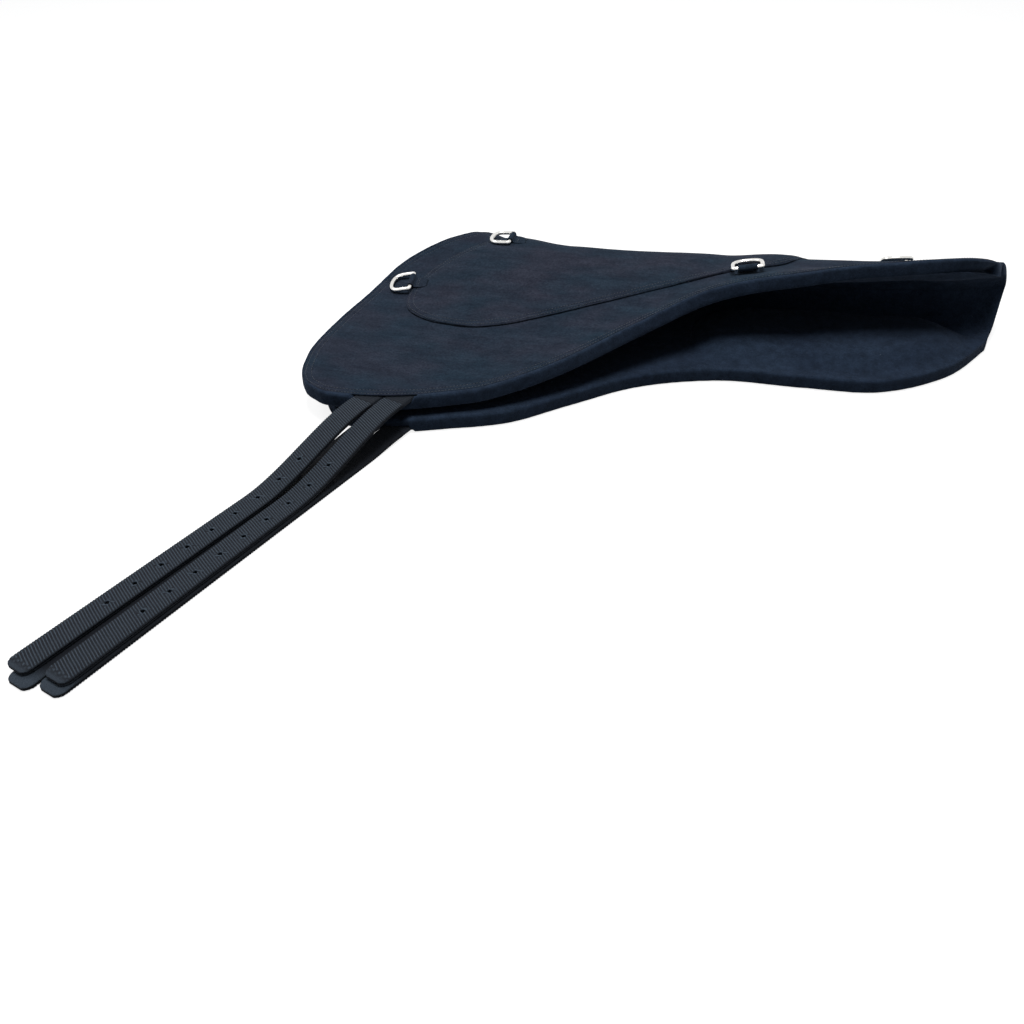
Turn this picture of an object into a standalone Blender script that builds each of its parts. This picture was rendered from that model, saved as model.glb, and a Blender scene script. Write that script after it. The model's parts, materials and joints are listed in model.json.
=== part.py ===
"""Bareback pad, folded along its spine and lying on its right half.

Metres, +Z up.  +X runs along the spine to the rear, the flaps point to -Y.
The left half lies over the right one.  Each half is a stack of separate layers,
all worked out from one curved outer surface: suede cover, foam, felt, and a
sewn-on seat panel.  Four webbing billets and eight D-rings are fixed to it.
"""
import math

import bmesh
import bpy
from mathutils import Matrix, Vector
from mathutils.bvhtree import BVHTree

LEFT, RIGHT = 1, -1
HALF_NAMES = {LEFT: "left", RIGHT: "right"}

# Driving dimensions of the folded pad
SPINE_LENGTH = 0.600
FLAP_DROP = 0.386
SPINE_DIP = 0.034
FRONT_SEAM_HEIGHT = 0.033
REAR_SEAM_HEIGHT = 0.055
MOUTH_HEIGHT = 0.110
SEAM_GAP = 0.0003

# Layers, counted inwards from the outer surface
SUEDE_THICKNESS = 0.0018
FOAM_THICKNESS = 0.0050
PAD_THICKNESS = 0.0150
PANEL_THICKNESS = 0.0018
LAYER_GAP = 0.0003
PANEL_GAP = 0.0004
PANEL_GROUND_GAP = 0.0003
SUEDE_INSET = 0.0060

# Billets: two webbing plies each, with a row of buckle holes
BILLET_WIDTH = 0.024
BILLET_LENGTH = 0.3982
WEB_THICKNESS = 0.0022
BACKING_THICKNESS = 0.0019
PLY_GAP = 0.0003
HOLE_DIAMETER = 0.0038
HOLE_PITCH = 0.0277
HOLE_COUNT = 9
FIRST_HOLE = 0.0912
BILLET_SPACING = 0.0276
BILLET_TIP_ROUND = 0.0085
LANDING_LENGTH = 0.154
LOWER_LANDING_LENGTH = 0.050
ROOT_FLAT = 0.005
ROOT_CLEARANCE = 0.0027
ROOT_OUTSIDE = 0.0068
ANCHOR_LENGTH = 0.042
POCKET_GAP = 0.0003
STATION_SPACING = 0.0092

# D-rings and the folded suede tabs that hold them
RING_INSIDE_WIDTH = 0.0262
RING_INSIDE_DEPTH = 0.0190
RING_WIRE = 0.0047
TAB_WIDTH = 0.0205
TAB_LENGTH = 0.018
TAB_PLY = 0.0011
TAB_CLEARANCE = 0.00025
SEAT_CLEARANCE = 0.00035
RING_GROUND_GAP = 0.00085
RING_LIFT = (PANEL_GAP + PANEL_THICKNESS + SEAT_CLEARANCE + RING_WIRE
             + 2 * (TAB_CLEARANCE + TAB_PLY) + RING_GROUND_GAP)
LIFT_CORE = 0.040
LIFT_REACH = 0.088
# The lift starts this share from the spine and ends this share before the rim
LIFT_START_SHARE = 0.06
LIFT_END_SHARE = 0.33

# The front edge's bulge fades along the spine by this power
FRONT_BLEND_POWER = 3
# The bend takes at most this share of a section's plan length
BEND_LIMIT_SHARE = 0.95

# Shares along the spine and how far the spine line dips there
DIP_SHARES = ((0, 0), (0.07, 0.42), (0.20, 0.85), (0.45, 1.0), (0.72, 1.05), (0.87, 0.8), (1, 0.1))
# Shares along the spine and the height of the fold's top there, in mouth heights
TOP_SHARES = ((0, 0.58), (0.05, 0.56), (0.12, 0.57), (0.25, 0.60), (0.5, 0.70), (0.62, 0.80),
              (0.75, 0.86), (0.87, 0.86), (1, 0.79))
# Shares along the spine, with the depth of the bend there in shares of its height
BEND_SHARES = ((0, 1.3), (0.3, 1.4), (0.6, 1.58), (0.75, 1.55), (0.88, 1.2), (1, 0.9))
# Shares along the spine and how pointed the bend is there, from 1 for an ellipse
POINT_SHARES = ((0, 1.0), (0.8, 1.0), (1, 1.25))
# Shares along the spine, and how far down the flap its outer face has levelled out
LEVEL_SHARES = ((0, 0.5), (0.3, 0.86), (1, 0.9))
# Front edge, from the spine to the flap's corner: shares of the spine and of the drop
FRONT_SHARES = ((0, 0), (-0.012, 0.062), (-0.077, 0.158), (-0.137, 0.288), (-0.174, 0.5),
                (-0.192, 0.736), (-0.186, 0.85), (-0.174, 0.915), (-0.157, 0.955))
# Flap bottom and rear edge, from the flap's corner to the spine's end: shares of the
# spine, of the drop and of the mouth's height
RIM_RIGHT_SHARES = ((-0.118, 0.945, 0), (-0.08, 0.990, 0), (0, 0.992, 0), (0.087, 0.945, 0),
                    (0.18, 0.880, 0), (0.265, 0.764, 0), (0.373, 0.624, 0), (0.508, 0.540, 0),
                    (0.647, 0.526, 0), (0.783, 0.500, 0), (0.90, 0.372, 0), (0.975, 0.19, 0))
RIM_LEFT_SHARES = ((-0.157, 0.955, 0.345), (-0.137, 0.978, 0.345), (-0.10, 0.998, 0.345),
                   (0, 0.979, 0.345), (0.087, 0.925, 0.345), (0.15, 0.878, 0.37), (0.248, 0.762, 0.464),
                   (0.362, 0.58, 0.61), (0.453, 0.455, 0.75), (0.535, 0.409, 0.86),
                   (0.617, 0.386, 0.94), (0.717, 0.329, 0.99), (0.783, 0.303, 1.015),
                   (0.852, 0.267, 1.03), (0.90, 0.232, 1.01), (0.935, 0.195, 0.955),
                   (0.955, 0.155, 0.88))

# Grid lines of the outer surface: columns along the spine, rows from spine to rim
COLUMN_SHARES = (0, 0.01, 0.036, 0.052, 0.115, 0.180, 0.198, 0.25, 0.31, 0.37, 0.43, 0.49, 0.55,
                 0.61, 0.67, 0.73, 0.79, 0.86, 0.93, 0.99, 1)
# Rows from the spine to the seat panel's seam, and on from there to the rim
SEAT_ROW_SHARES = (0, 0.05, 0.11, 0.17, 0.24, 0.32, 0.42, 0.54, 0.68, 0.84, 1)
RIM_ROW_SHARES = (0.28, 0.55, 0.66, 1)
# Shares along the spine, and the seat panel's seam there as a share from spine to rim
SEAM_SHARES = ((0, 0.50), (0.08, 0.59), (0.2, 0.63), (0.35, 0.60), (0.5, 0.62), (0.65, 0.70),
               (1, 0.7))
RIM_ROW = len(SEAT_ROW_SHARES) + len(RIM_ROW_SHARES)
LAST_COLUMN = len(COLUMN_SHARES) - 1
SPINE_ROWS = 4
POCKET_COLUMNS = (3, 5)
POCKET_FIRST_ROW = 13
FOAM_COLUMNS = (6, 13)
FOAM_ROWS = (5, 9)
PANEL_COLUMNS = (3, 15)
PANEL_LAST_ROW = 10

# Where each ring's bar lies on the left and on the right half, as shares of the grid,
# the way its tab points as plan components, and whether the ring is turned back over it
RINGS = {
    "front_outer": {LEFT: (0.050, 0.435), RIGHT: (0.062, 0.420), "tab": (1.0, 0.10),
                    "turned_back": False},
    "front_inner": {LEFT: (0.088, 0.130), RIGHT: (0.072, 0.150), "tab": (1.0, 0.0),
                    "turned_back": False},
    "rear_outer": {LEFT: (0.618, 0.785), RIGHT: (0.600, 0.640), "tab": (-0.10, 1.0),
                   "turned_back": True},
    "rear_inner": {LEFT: (0.800, 0.300), RIGHT: (0.800, 0.500), "tab": (-0.10, 1.0),
                   "turned_back": False},
}
RING_PAIRS = (("front_outer", "front_inner"), ("rear_outer", "rear_inner"))
# Each billet's slant towards the front in degrees, and its length before the standard one
BILLETS = {
    (LEFT, "front"): (20.4, 0.0),
    (LEFT, "rear"): (19.4, 0.0065),
    (RIGHT, "front"): (19.2, 0.0055),
    (RIGHT, "rear"): (19.4, 0.0095),
}
BILLET_NAMES = ("front", "rear")
BILLET_PAIR_X_SHARE = -0.018
# Extra grid lines between the last hole and the tip, and round the tip
BEFORE_TIP_SHARES = (0.33, 0.67, 1.0)
TIP_SHARES = (0.4, 0.75, 0.95, 1.0)
TIP_WIDTH_SHARE = 0.45

# Shape of the D-rings' bow where it leaves the bar
SHOULDER_SHARE = 0.35
MITRE_LIMIT = 0.5
# Spots under a tab that are looked at when it is laid on the surface
ACROSS_SHARES = (-0.5, 0, 0.5)
BACK_SHARES = (0, 0.5, 1)
SEAT_PROBE = 0.015
RING_PROBE = 0.060

TUBE_SIDES = 6
BOW_POINTS = 12
LOOP_POINTS = 16
TAIL_INDEX = LOOP_POINTS // 2 - 1
SMOOTH_ANGLE = 40
PROBE_SHARE = 0.0005
RIM_STEPS = 200
FLAP_RIM_SHARE = 0.5
TURN_STEP = 0.5
TURN_LIMIT = 90
LYING_TURN = 30


def clear_scene():
    for item in list(bpy.data.objects):
        bpy.data.objects.remove(item, do_unlink=True)


def material(name, colour, roughness, metallic=0.0):
    made = bpy.data.materials.new(name)
    made.use_nodes = True
    shader = made.node_tree.nodes["Principled BSDF"]
    shader.inputs["Base Color"].default_value = (*colour, 1.0)
    shader.inputs["Roughness"].default_value = roughness
    shader.inputs["Metallic"].default_value = metallic
    return made


def add_object(name, mesh, finish, matrix=None):
    made = bpy.data.objects.new(name, mesh)
    if not mesh.materials:
        mesh.materials.append(finish)
    if matrix is not None:
        made.matrix_world = matrix
    bpy.context.scene.collection.objects.link(made)
    return made


def finish_mesh(work, name, smooth=True):
    bmesh.ops.recalc_face_normals(work, faces=work.faces)
    if work.calc_volume(signed=True) < 0:
        bmesh.ops.reverse_faces(work, faces=work.faces)
    mesh = bpy.data.meshes.new(name)
    work.to_mesh(mesh)
    work.free()
    if smooth:
        mesh.shade_smooth()
        mesh.set_sharp_from_angle(angle=math.radians(SMOOTH_ANGLE))
    return mesh


def smoothstep(value):
    value = min(1.0, max(0.0, value))
    return value * value * (3 - 2 * value)


def lookup(table, share):
    """Value at a share, eased between the table's (share, value) points."""
    for (s0, a0), (s1, a1) in zip(table, table[1:]):
        if share <= s1:
            return a0 + (a1 - a0) * smoothstep((share - s0) / (s1 - s0))
    return table[-1][1]


def curve_point(points, share):
    """Point at a share of the length of a smooth curve through the points."""
    lengths = [0.0]
    for first, second in zip(points, points[1:]):
        lengths.append(lengths[-1] + (second - first).length)
    wanted = share * lengths[-1]
    index = 0
    while index < len(points) - 2 and lengths[index + 1] < wanted:
        index += 1
    span = lengths[index + 1] - lengths[index]
    t = (wanted - lengths[index]) / span
    before = points[max(0, index - 1)]
    after = points[min(len(points) - 1, index + 2)]
    start, end = points[index], points[index + 1]
    tangent_in = (end - before) / 2
    tangent_out = (after - start) / 2
    square, cube = t * t, t * t * t
    return (start * (2 * cube - 3 * square + 1) + tangent_in * (cube - 2 * square + t)
            + end * (3 * square - 2 * cube) + tangent_out * (cube - square))


FRONT_EDGE = [Vector((x * SPINE_LENGTH, -y * FLAP_DROP, 0)) for x, y in FRONT_SHARES]
RIMS = {half: [Vector((x * SPINE_LENGTH, -y * FLAP_DROP, z * MOUTH_HEIGHT)) for x, y, z in shares]
        for half, shares in ((LEFT, RIM_LEFT_SHARES), (RIGHT, RIM_RIGHT_SHARES))}


def seam_height(u):
    return FRONT_SEAM_HEIGHT + (REAR_SEAM_HEIGHT - FRONT_SEAM_HEIGHT) * u


def spine_point(u):
    return Vector((SPINE_LENGTH * u, -SPINE_DIP * lookup(DIP_SHARES, u), 0))


def section(half, u):
    """Sizes of one cross section: rim point, plan length, bend depth and height."""
    rim = curve_point(RIMS[half], u)
    start = spine_point(u)
    plan = math.hypot(rim.x - start.x, rim.y - start.y)
    middle = seam_height(u) + half * SEAM_GAP / 2
    top = lookup(TOP_SHARES, u) * MOUTH_HEIGHT if half == LEFT else 0.0
    height = abs(top - middle)
    depth = min(lookup(BEND_SHARES, u) * height, plan * BEND_LIMIT_SHARE)
    bend = math.pi / 2 * math.sqrt((depth * depth + height * height) / 2)
    return start, rim, plan, middle, height, depth, bend


def ring_lift(x, y):
    """How far the lower half is raised by the rings and tabs that lie under it."""
    highest = 0.0
    for start, along in RING_LINES:
        share = (Vector((x, y)) - start).dot(along) / along.length_squared
        nearest = start + along * min(1.0, max(0.0, share))
        distance = math.hypot(x - nearest.x, y - nearest.y)
        share = (LIFT_REACH - distance) / (LIFT_REACH - LIFT_CORE)
        highest = max(highest, RING_LIFT * smoothstep(share))
    return highest


def outer_point(half, u, v, lifted=True):
    """Point of a half's outer surface: u along the spine, v from spine to rim."""
    start, rim, plan, middle, height, depth, bend = section(half, u)
    bend_share = bend / (bend + plan - depth)
    if v < bend_share:
        turn = math.pi / 2 * v / bend_share
        point = lookup(POINT_SHARES, u)
        run = depth * (1 - math.cos(turn) ** point)
        z = middle + half * height * math.sin(turn) ** point
    else:
        flat = (v - bend_share) / (1 - bend_share)
        run = depth + flat * (plan - depth)
        z = middle + half * height
        z += (rim.z - z) * smoothstep(flat / lookup(LEVEL_SHARES, u))
    along = run / plan
    straight = FRONT_EDGE[0].lerp(FRONT_EDGE[-1], along)
    bulge = curve_point(FRONT_EDGE, along) - straight
    place = start.lerp(rim, along) + bulge * (1 - u) ** FRONT_BLEND_POWER
    if half == RIGHT and lifted:
        fade = smoothstep(v / LIFT_START_SHARE) * smoothstep((1 - v) / LIFT_END_SHARE)
        z = max(z, ring_lift(place.x, place.y) * fade)
    return Vector((place.x, place.y, z))


RING_LINES = []
for pair in RING_PAIRS:
    ends = [outer_point(RIGHT, *RINGS[name][RIGHT], lifted=False).xy for name in pair]
    RING_LINES.append((ends[0], ends[1] - ends[0]))


def outer_normal(half, u, v):
    """Unit normal of the outer surface, pointing out of the pad."""
    u0, u1 = max(0.0, u - PROBE_SHARE), min(1.0, u + PROBE_SHARE)
    v0, v1 = max(0.0, v - PROBE_SHARE), min(1.0, v + PROBE_SHARE)
    along = outer_point(half, u1, v) - outer_point(half, u0, v)
    down = outer_point(half, u, v1) - outer_point(half, u, v0)
    normal = along.cross(down) * -half
    normal.normalize()
    if v == 0:
        slope = (REAR_SEAM_HEIGHT - FRONT_SEAM_HEIGHT) / SPINE_LENGTH
        across = Vector((-slope, 0, 1)).normalized()
        normal = (normal - across * normal.dot(across)).normalized()
    return normal


def build_grid(half):
    """Grid of (point, outward normal) for every column and row of a half."""
    grid = {}
    for i, u in enumerate(COLUMN_SHARES):
        _, _, plan, _, _, depth, bend = section(half, u)
        edge = 1 - SUEDE_INSET / (plan - depth + bend)
        seam = lookup(SEAM_SHARES, u)
        rows = [seam * share for share in SEAT_ROW_SHARES]
        rows += [seam + (edge - seam) * share for share in RIM_ROW_SHARES]
        for j, v in enumerate((*rows, 1.0)):
            point = outer_point(half, u, v)
            if half == RIGHT and j <= PANEL_LAST_ROW and i in range(*PANEL_COLUMNS):
                point.z = max(point.z, PANEL_GAP + PANEL_THICKNESS + PANEL_GROUND_GAP)
            grid[i, j] = (point, outer_normal(half, u, v))
    return grid


def layer_point(half, row, outer, normal, depth):
    """Point at a depth below the outer surface; beside the spine it stays on its side."""
    point = outer - normal * depth
    seam = seam_height(point.x / SPINE_LENGTH)
    if row <= SPINE_ROWS and half * (point.z - seam) < SEAM_GAP / 2:
        point.z = seam + half * SEAM_GAP / 2
    return point


def shell(name, half, grid, cells, outside, inside):
    """Closed sheet over the grid's cells, between two depths given per vertex."""
    work = bmesh.new()
    layers = []
    keys = sorted({key for cell in cells for key in cell})
    for depth_at in (outside, inside):
        layers.append({key: work.verts.new(layer_point(half, key[1], *grid[key], depth_at(key)))
                       for key in keys})
    edges = {}
    for cell in cells:
        for second, third in zip(cell[1:], cell[2:]):
            triangle = (cell[0], second, third)
            work.faces.new([layers[0][key] for key in triangle])
            work.faces.new([layers[1][key] for key in reversed(triangle)])
        for a, b in zip(cell, cell[1:] + cell[:1]):
            edges[frozenset((a, b))] = None if frozenset((a, b)) in edges else (a, b)
    for pair in edges.values():
        if pair is not None:
            a, b = pair
            work.faces.new((layers[0][b], layers[0][a], layers[1][a], layers[1][b]))
    return finish_mesh(work, name)


def grid_cells(columns, rows):
    return [((i, j), (i + 1, j), (i + 1, j + 1), (i, j + 1))
            for i in range(*columns) for j in range(*rows)]


def steady(depth):
    return lambda key: depth


def felt_depth(key):
    """Outer face of the felt: lower under the foam and in the billets' pocket."""
    i, j = key
    base = SUEDE_THICKNESS + LAYER_GAP
    if POCKET_COLUMNS[0] <= i <= POCKET_COLUMNS[1] and j >= POCKET_FIRST_ROW:
        return base + billet_thickness() + 2 * POCKET_GAP
    if FOAM_COLUMNS[0] <= i <= FOAM_COLUMNS[1] and FOAM_ROWS[0] <= j <= FOAM_ROWS[1]:
        return base + FOAM_THICKNESS + LAYER_GAP
    return LAYER_GAP if j == RIM_ROW else base


def billet_thickness():
    return WEB_THICKNESS + PLY_GAP + BACKING_THICKNESS


def make_half(half, finishes):
    """All layers of one half; returns its outermost faces for seating the rings."""
    side = HALF_NAMES[half]
    grid = build_grid(half)
    cover_cells = grid_cells((1, LAST_COLUMN - 1), (0, RIM_ROW - 1))
    felt_cells = grid_cells((0, LAST_COLUMN), (0, RIM_ROW))
    foam_cells = grid_cells(FOAM_COLUMNS, FOAM_ROWS)
    first, last = PANEL_COLUMNS[0], PANEL_LAST_ROW
    panel_cells = grid_cells((first, PANEL_COLUMNS[1] - 1), (0, last))
    corner = ((first, last - 1), (first + 1, last - 1), (first + 1, last), (first, last))
    panel_cells.remove(corner)
    panel_cells.append(corner[:3])

    under_cover = SUEDE_THICKNESS + LAYER_GAP
    felt = shell("felt", half, grid, felt_cells, felt_depth, steady(PAD_THICKNESS))
    foam = shell("foam", half, grid, foam_cells, steady(under_cover),
                 steady(under_cover + FOAM_THICKNESS))
    cover = shell("cover", half, grid, cover_cells, steady(0.0), steady(SUEDE_THICKNESS))
    panel = shell("panel", half, grid, panel_cells, steady(-PANEL_GAP - PANEL_THICKNESS),
                  steady(-PANEL_GAP))
    add_object(f"felt_underlay_{side}", felt, finishes["felt"])
    add_object(f"seat_foam_{side}", foam, finishes["foam"])
    parts = [add_object(f"suede_cover_{side}", cover, finishes["suede"]),
             add_object(f"seat_panel_{side}", panel, finishes["seat"])]
    return [BVHTree.FromPolygons([v.co for v in part.data.vertices],
                                 [tuple(p.vertices) for p in part.data.polygons])
            for part in parts]


def ring_path():
    """Centre line of a D-ring: bar along X through the origin, bow towards +Y."""
    radius = RING_WIRE / 2
    half_width = RING_INSIDE_WIDTH / 2 + radius
    depth = RING_INSIDE_DEPTH + 2 * radius
    points = [Vector((-half_width, 0, 0)), Vector((half_width, 0, 0))]
    for index in range(BOW_POINTS + 1):
        turn = math.pi * index / BOW_POINTS
        shoulder = math.sqrt(math.sin(turn)) if 0 < index < BOW_POINTS else 0.0
        share = SHOULDER_SHARE + (1 - SHOULDER_SHARE) * shoulder
        points.append(Vector((half_width * math.cos(turn), depth * share, 0)))
    return points


def ring_mesh():
    """Round wire swept along the D, as a closed tube."""
    path = ring_path()
    work = bmesh.new()
    rings = []
    count = len(path)
    for index, point in enumerate(path):
        before, after = path[index - 1], path[(index + 1) % count]
        incoming = (point - before).normalized()
        outgoing = (after - point).normalized()
        side = (incoming + outgoing).normalized().cross(Vector((0, 0, 1)))
        stretch = 1 / max(MITRE_LIMIT, side.dot(outgoing.cross(Vector((0, 0, 1)))))
        ring = []
        for step in range(TUBE_SIDES):
            turn = 2 * math.pi * step / TUBE_SIDES
            offset = side * (math.cos(turn) * stretch) + Vector((0, 0, math.sin(turn)))
            ring.append(work.verts.new(point + offset * (RING_WIRE / 2)))
        rings.append(ring)
    for index in range(count):
        ring, following = rings[index], rings[(index + 1) % count]
        for step in range(TUBE_SIDES):
            nxt = (step + 1) % TUBE_SIDES
            work.faces.new((ring[step], ring[nxt], following[nxt], following[step]))
    return finish_mesh(work, "d_ring")


def loop_radius():
    return RING_WIRE / 2 + TAB_CLEARANCE + TAB_PLY


def tab_outlines():
    """Side view of a tab: the loop's outside and bore, and the end of its tail."""
    inner = RING_WIRE / 2 + TAB_CLEARANCE
    outer = loop_radius()
    tail_top = 2 * TAB_PLY - outer
    outline, bore = [], []
    for index in range(LOOP_POINTS):
        turn = 2 * math.pi * (index + 0.5) / LOOP_POINTS
        y, z = math.cos(turn), math.sin(turn)
        bore.append((inner * y, inner * z))
        if index == TAIL_INDEX:
            outline.append((-outer - TAB_PLY, tail_top))
        elif index == TAIL_INDEX + 1:
            outline.append((-outer - TAB_PLY, -outer))
        else:
            outline.append((outer * y, -outer if y < 0 and z < 0 else outer * z))
    return outline, bore, [(-TAB_LENGTH, tail_top), (-TAB_LENGTH, -outer)]


def tab_mesh():
    """Folded suede tab: a loop round the ring's bar, and a tail towards -Y."""
    work = bmesh.new()
    sides = []
    for x in (-TAB_WIDTH / 2, TAB_WIDTH / 2):
        sides.append([[work.verts.new((x, y, z)) for y, z in loop] for loop in tab_outlines()])
    for index in range(LOOP_POINTS):
        nxt = (index + 1) % LOOP_POINTS
        for rim, hole, _ in sides:
            work.faces.new((rim[index], rim[nxt], hole[nxt], hole[index]))
        for loop in (0, 1):
            a, b = sides[0][loop], sides[1][loop]
            if loop == 1 or index != TAIL_INDEX:
                work.faces.new((a[index], a[nxt], b[nxt], b[index]))
    tails = []
    for rim, _, tail in sides:
        tails.append((rim[TAIL_INDEX], tail[0], tail[1], rim[TAIL_INDEX + 1]))
        work.faces.new(tails[-1])
    for (a, b), (c, d) in zip(zip(tails[0], tails[0][1:]), zip(tails[1], tails[1][1:])):
        work.faces.new((a, b, d, c))
    return finish_mesh(work, "d_ring_tab")


def seat_height(trees, place, normal):
    """Distance from a plane through place, along normal, to the surface's highest spot."""
    highest = None
    for tree in trees:
        hit, _, _, _ = tree.ray_cast(place + normal * SEAT_PROBE, -normal, RING_PROBE)
        if hit is not None:
            height = (hit - place).dot(normal)
            highest = height if highest is None else max(highest, height)
    return highest


def seat_frame(half, trees, spot, heading):
    """Frame of a tab on the surface: X along the bar, -Y along the tail, Z outwards."""
    place = outer_point(half, *spot)
    normal = outer_normal(half, *spot)
    tail = Vector((*heading, 0))
    tail = (tail - normal * tail.dot(normal)).normalized()
    bar = tail.cross(normal).normalized() * -1
    rises = []
    for across in ACROSS_SHARES:
        for back in BACK_SHARES:
            probe = place + bar * (across * TAB_WIDTH) + tail * (back * TAB_LENGTH)
            rise = seat_height(trees, probe, normal)
            if rise is not None:
                rises.append(rise)
    centre = place + normal * (max(rises) + SEAT_CLEARANCE + loop_radius())
    rotation = Matrix((bar, -tail, normal)).transposed()
    return centre, rotation


def ring_clearance(mesh, matrix, trees, normal):
    """Least distance of the ring from the surface it lies on and from the ground."""
    least = SEAT_PROBE
    for vertex in mesh.vertices:
        point = matrix @ vertex.co
        least = min(least, point.z)
        for tree in trees:
            hit, _, _, _ = tree.ray_cast(point + normal * SEAT_PROBE, -normal, RING_PROBE)
            if hit is not None:
                least = min(least, (point - hit).dot(normal))
    return least


def tab_clearance_turn():
    """Turn that lays a ring on its own tab's tail."""
    depth = RING_INSIDE_DEPTH + RING_WIRE
    rise = 2 * TAB_PLY + SEAT_CLEARANCE + RING_WIRE / 2 - loop_radius()
    return math.degrees(math.asin(max(0.0, rise) / depth))


def place_ring(half, trees, mesh, centre, rotation, turned_back):
    """Let the ring fall about its bar until it rests on what lies under it."""
    lying = 180 - tab_clearance_turn() if turned_back else -LYING_TURN
    steps = int(abs(TURN_LIMIT - lying) / TURN_STEP)
    turns = [lying + (TURN_LIMIT - lying) * step / steps for step in range(steps + 1)]
    if half == LEFT:
        turns.reverse()
    rest = None
    for turn in turns:
        spin = Matrix.Rotation(math.radians(turn), 3, "X")
        matrix = Matrix.Translation(centre) @ (rotation @ spin).to_4x4()
        if ring_clearance(mesh, matrix, trees, rotation.col[2]) >= SEAT_CLEARANCE:
            rest = matrix
        elif rest is not None:
            break
    return rest


def make_rings(half, trees, finishes):
    side = HALF_NAMES[half]
    ring, tab = ring_mesh(), tab_mesh()
    for name, place in RINGS.items():
        centre, rotation = seat_frame(half, trees, place[half], place["tab"])
        matrix = Matrix.Translation(centre) @ rotation.to_4x4()
        add_object(f"ring_tab_{name}_{side}", tab, finishes["webbing"], matrix)
        rest = place_ring(half, trees, ring, centre, rotation, place["turned_back"])
        add_object(f"d_ring_{name}_{side}", ring, finishes["chrome"], rest)


def billet_root(half, name):
    """Root of a billet on the flap, and its direction, seen from above."""
    slant = math.radians(BILLETS[half, name][0])
    run = Vector((-math.sin(slant), -math.cos(slant), 0))
    middle = BILLET_PAIR_X_SHARE * SPINE_LENGTH
    offset = BILLET_SPACING / 2 / math.cos(slant)
    x = middle - offset if name == "front" else middle + offset
    y = rim_y_at(half, x) + SUEDE_INSET - ROOT_CLEARANCE
    return Vector((x, y, 0)) + run * ROOT_OUTSIDE, run


def rim_y_at(half, x):
    """Y of the flap's bottom edge at an x, found along the rim curve."""
    previous = curve_point(RIMS[half], 0)
    for index in range(1, RIM_STEPS):
        point = curve_point(RIMS[half], index / RIM_STEPS * FLAP_RIM_SHARE)
        if point.x >= x:
            share = (x - previous.x) / (point.x - previous.x)
            return previous.y + (point.y - previous.y) * share
        previous = point
    return previous.y


def flap_height(half):
    """Height of the flap's outer face where the billets leave it."""
    return RIM_LEFT_SHARES[0][2] * MOUTH_HEIGHT if half == LEFT else 0.0


def billet_floor(half, s):
    """Underside of a billet at a distance from its root."""
    pile = billet_thickness() + POCKET_GAP
    sandwich = SUEDE_THICKNESS + LAYER_GAP
    if half == LEFT:
        start = flap_height(LEFT) - sandwich - billet_thickness()
        end = pile
        reach = LANDING_LENGTH
    else:
        start = sandwich
        end = 0.0
        reach = LOWER_LANDING_LENGTH
    return start + (end - start) * smoothstep((s - ROOT_FLAT) / (reach - ROOT_FLAT))


def billet_stations(extra):
    """Grid lines along a billet: both sides and the middle of each hole, and the tip."""
    stations = {0.0}
    first_hole = FIRST_HOLE + extra
    lead = int(first_hole / STATION_SPACING)
    for index in range(1, lead):
        stations.add(first_hole * index / lead)
    holes = []
    for index in range(HOLE_COUNT):
        middle = first_hole + index * HOLE_PITCH
        holes.append(middle)
        for side in (-HOLE_DIAMETER, 0, HOLE_DIAMETER):
            stations.add(middle + side)
    tip_start = BILLET_LENGTH + extra - BILLET_TIP_ROUND
    last = max(stations)
    for share in BEFORE_TIP_SHARES:
        stations.add(last + (tip_start - last) * share)
    for share in TIP_SHARES:
        stations.add(tip_start + BILLET_TIP_ROUND * share)
    return sorted(stations), holes


def billet_half_width(s, extra):
    tip = (s - (BILLET_LENGTH + extra - BILLET_TIP_ROUND)) / BILLET_TIP_ROUND
    if tip <= 0:
        return BILLET_WIDTH / 2
    narrowing = (1 - TIP_WIDTH_SHARE) * (1 - math.sqrt(max(0.0, 1 - tip * tip)))
    return BILLET_WIDTH / 2 * (1 - narrowing)


def ply_mesh(half, extra, low, high):
    """One ply of a billet in its root's frame: runs along +X, holes cut through."""
    stations, holes = billet_stations(extra)
    columns = (-BILLET_WIDTH / 2, -HOLE_DIAMETER, 0, HOLE_DIAMETER, BILLET_WIDTH / 2)
    work = bmesh.new()
    layers = []
    for level in (low, high):
        sheet = {}
        for a, s in enumerate(stations):
            narrow = billet_half_width(s, extra) / (BILLET_WIDTH / 2)
            for b, t in enumerate(columns):
                spot = (s, t * narrow, billet_floor(half, s) + level)
                sheet[a, b] = work.verts.new(spot)
        layers.append(sheet)
    punched = {a for a, s in enumerate(stations) if s in holes}
    for a in range(len(stations) - 1):
        for b in range(len(columns) - 1):
            if b in (1, 2) and (a in punched or a + 1 in punched):
                continue
            quad = ((a, b), (a + 1, b), (a + 1, b + 1), (a, b + 1))
            work.faces.new([layers[0][key] for key in reversed(quad)])
            work.faces.new([layers[1][key] for key in quad])
    for a in sorted(punched):
        punch_hole(work, layers, a, half, stations[a], (low, high))
    wall_edges(work, layers, len(stations) - 1, len(columns) - 1)
    return finish_mesh(work, "billet_ply")


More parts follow.
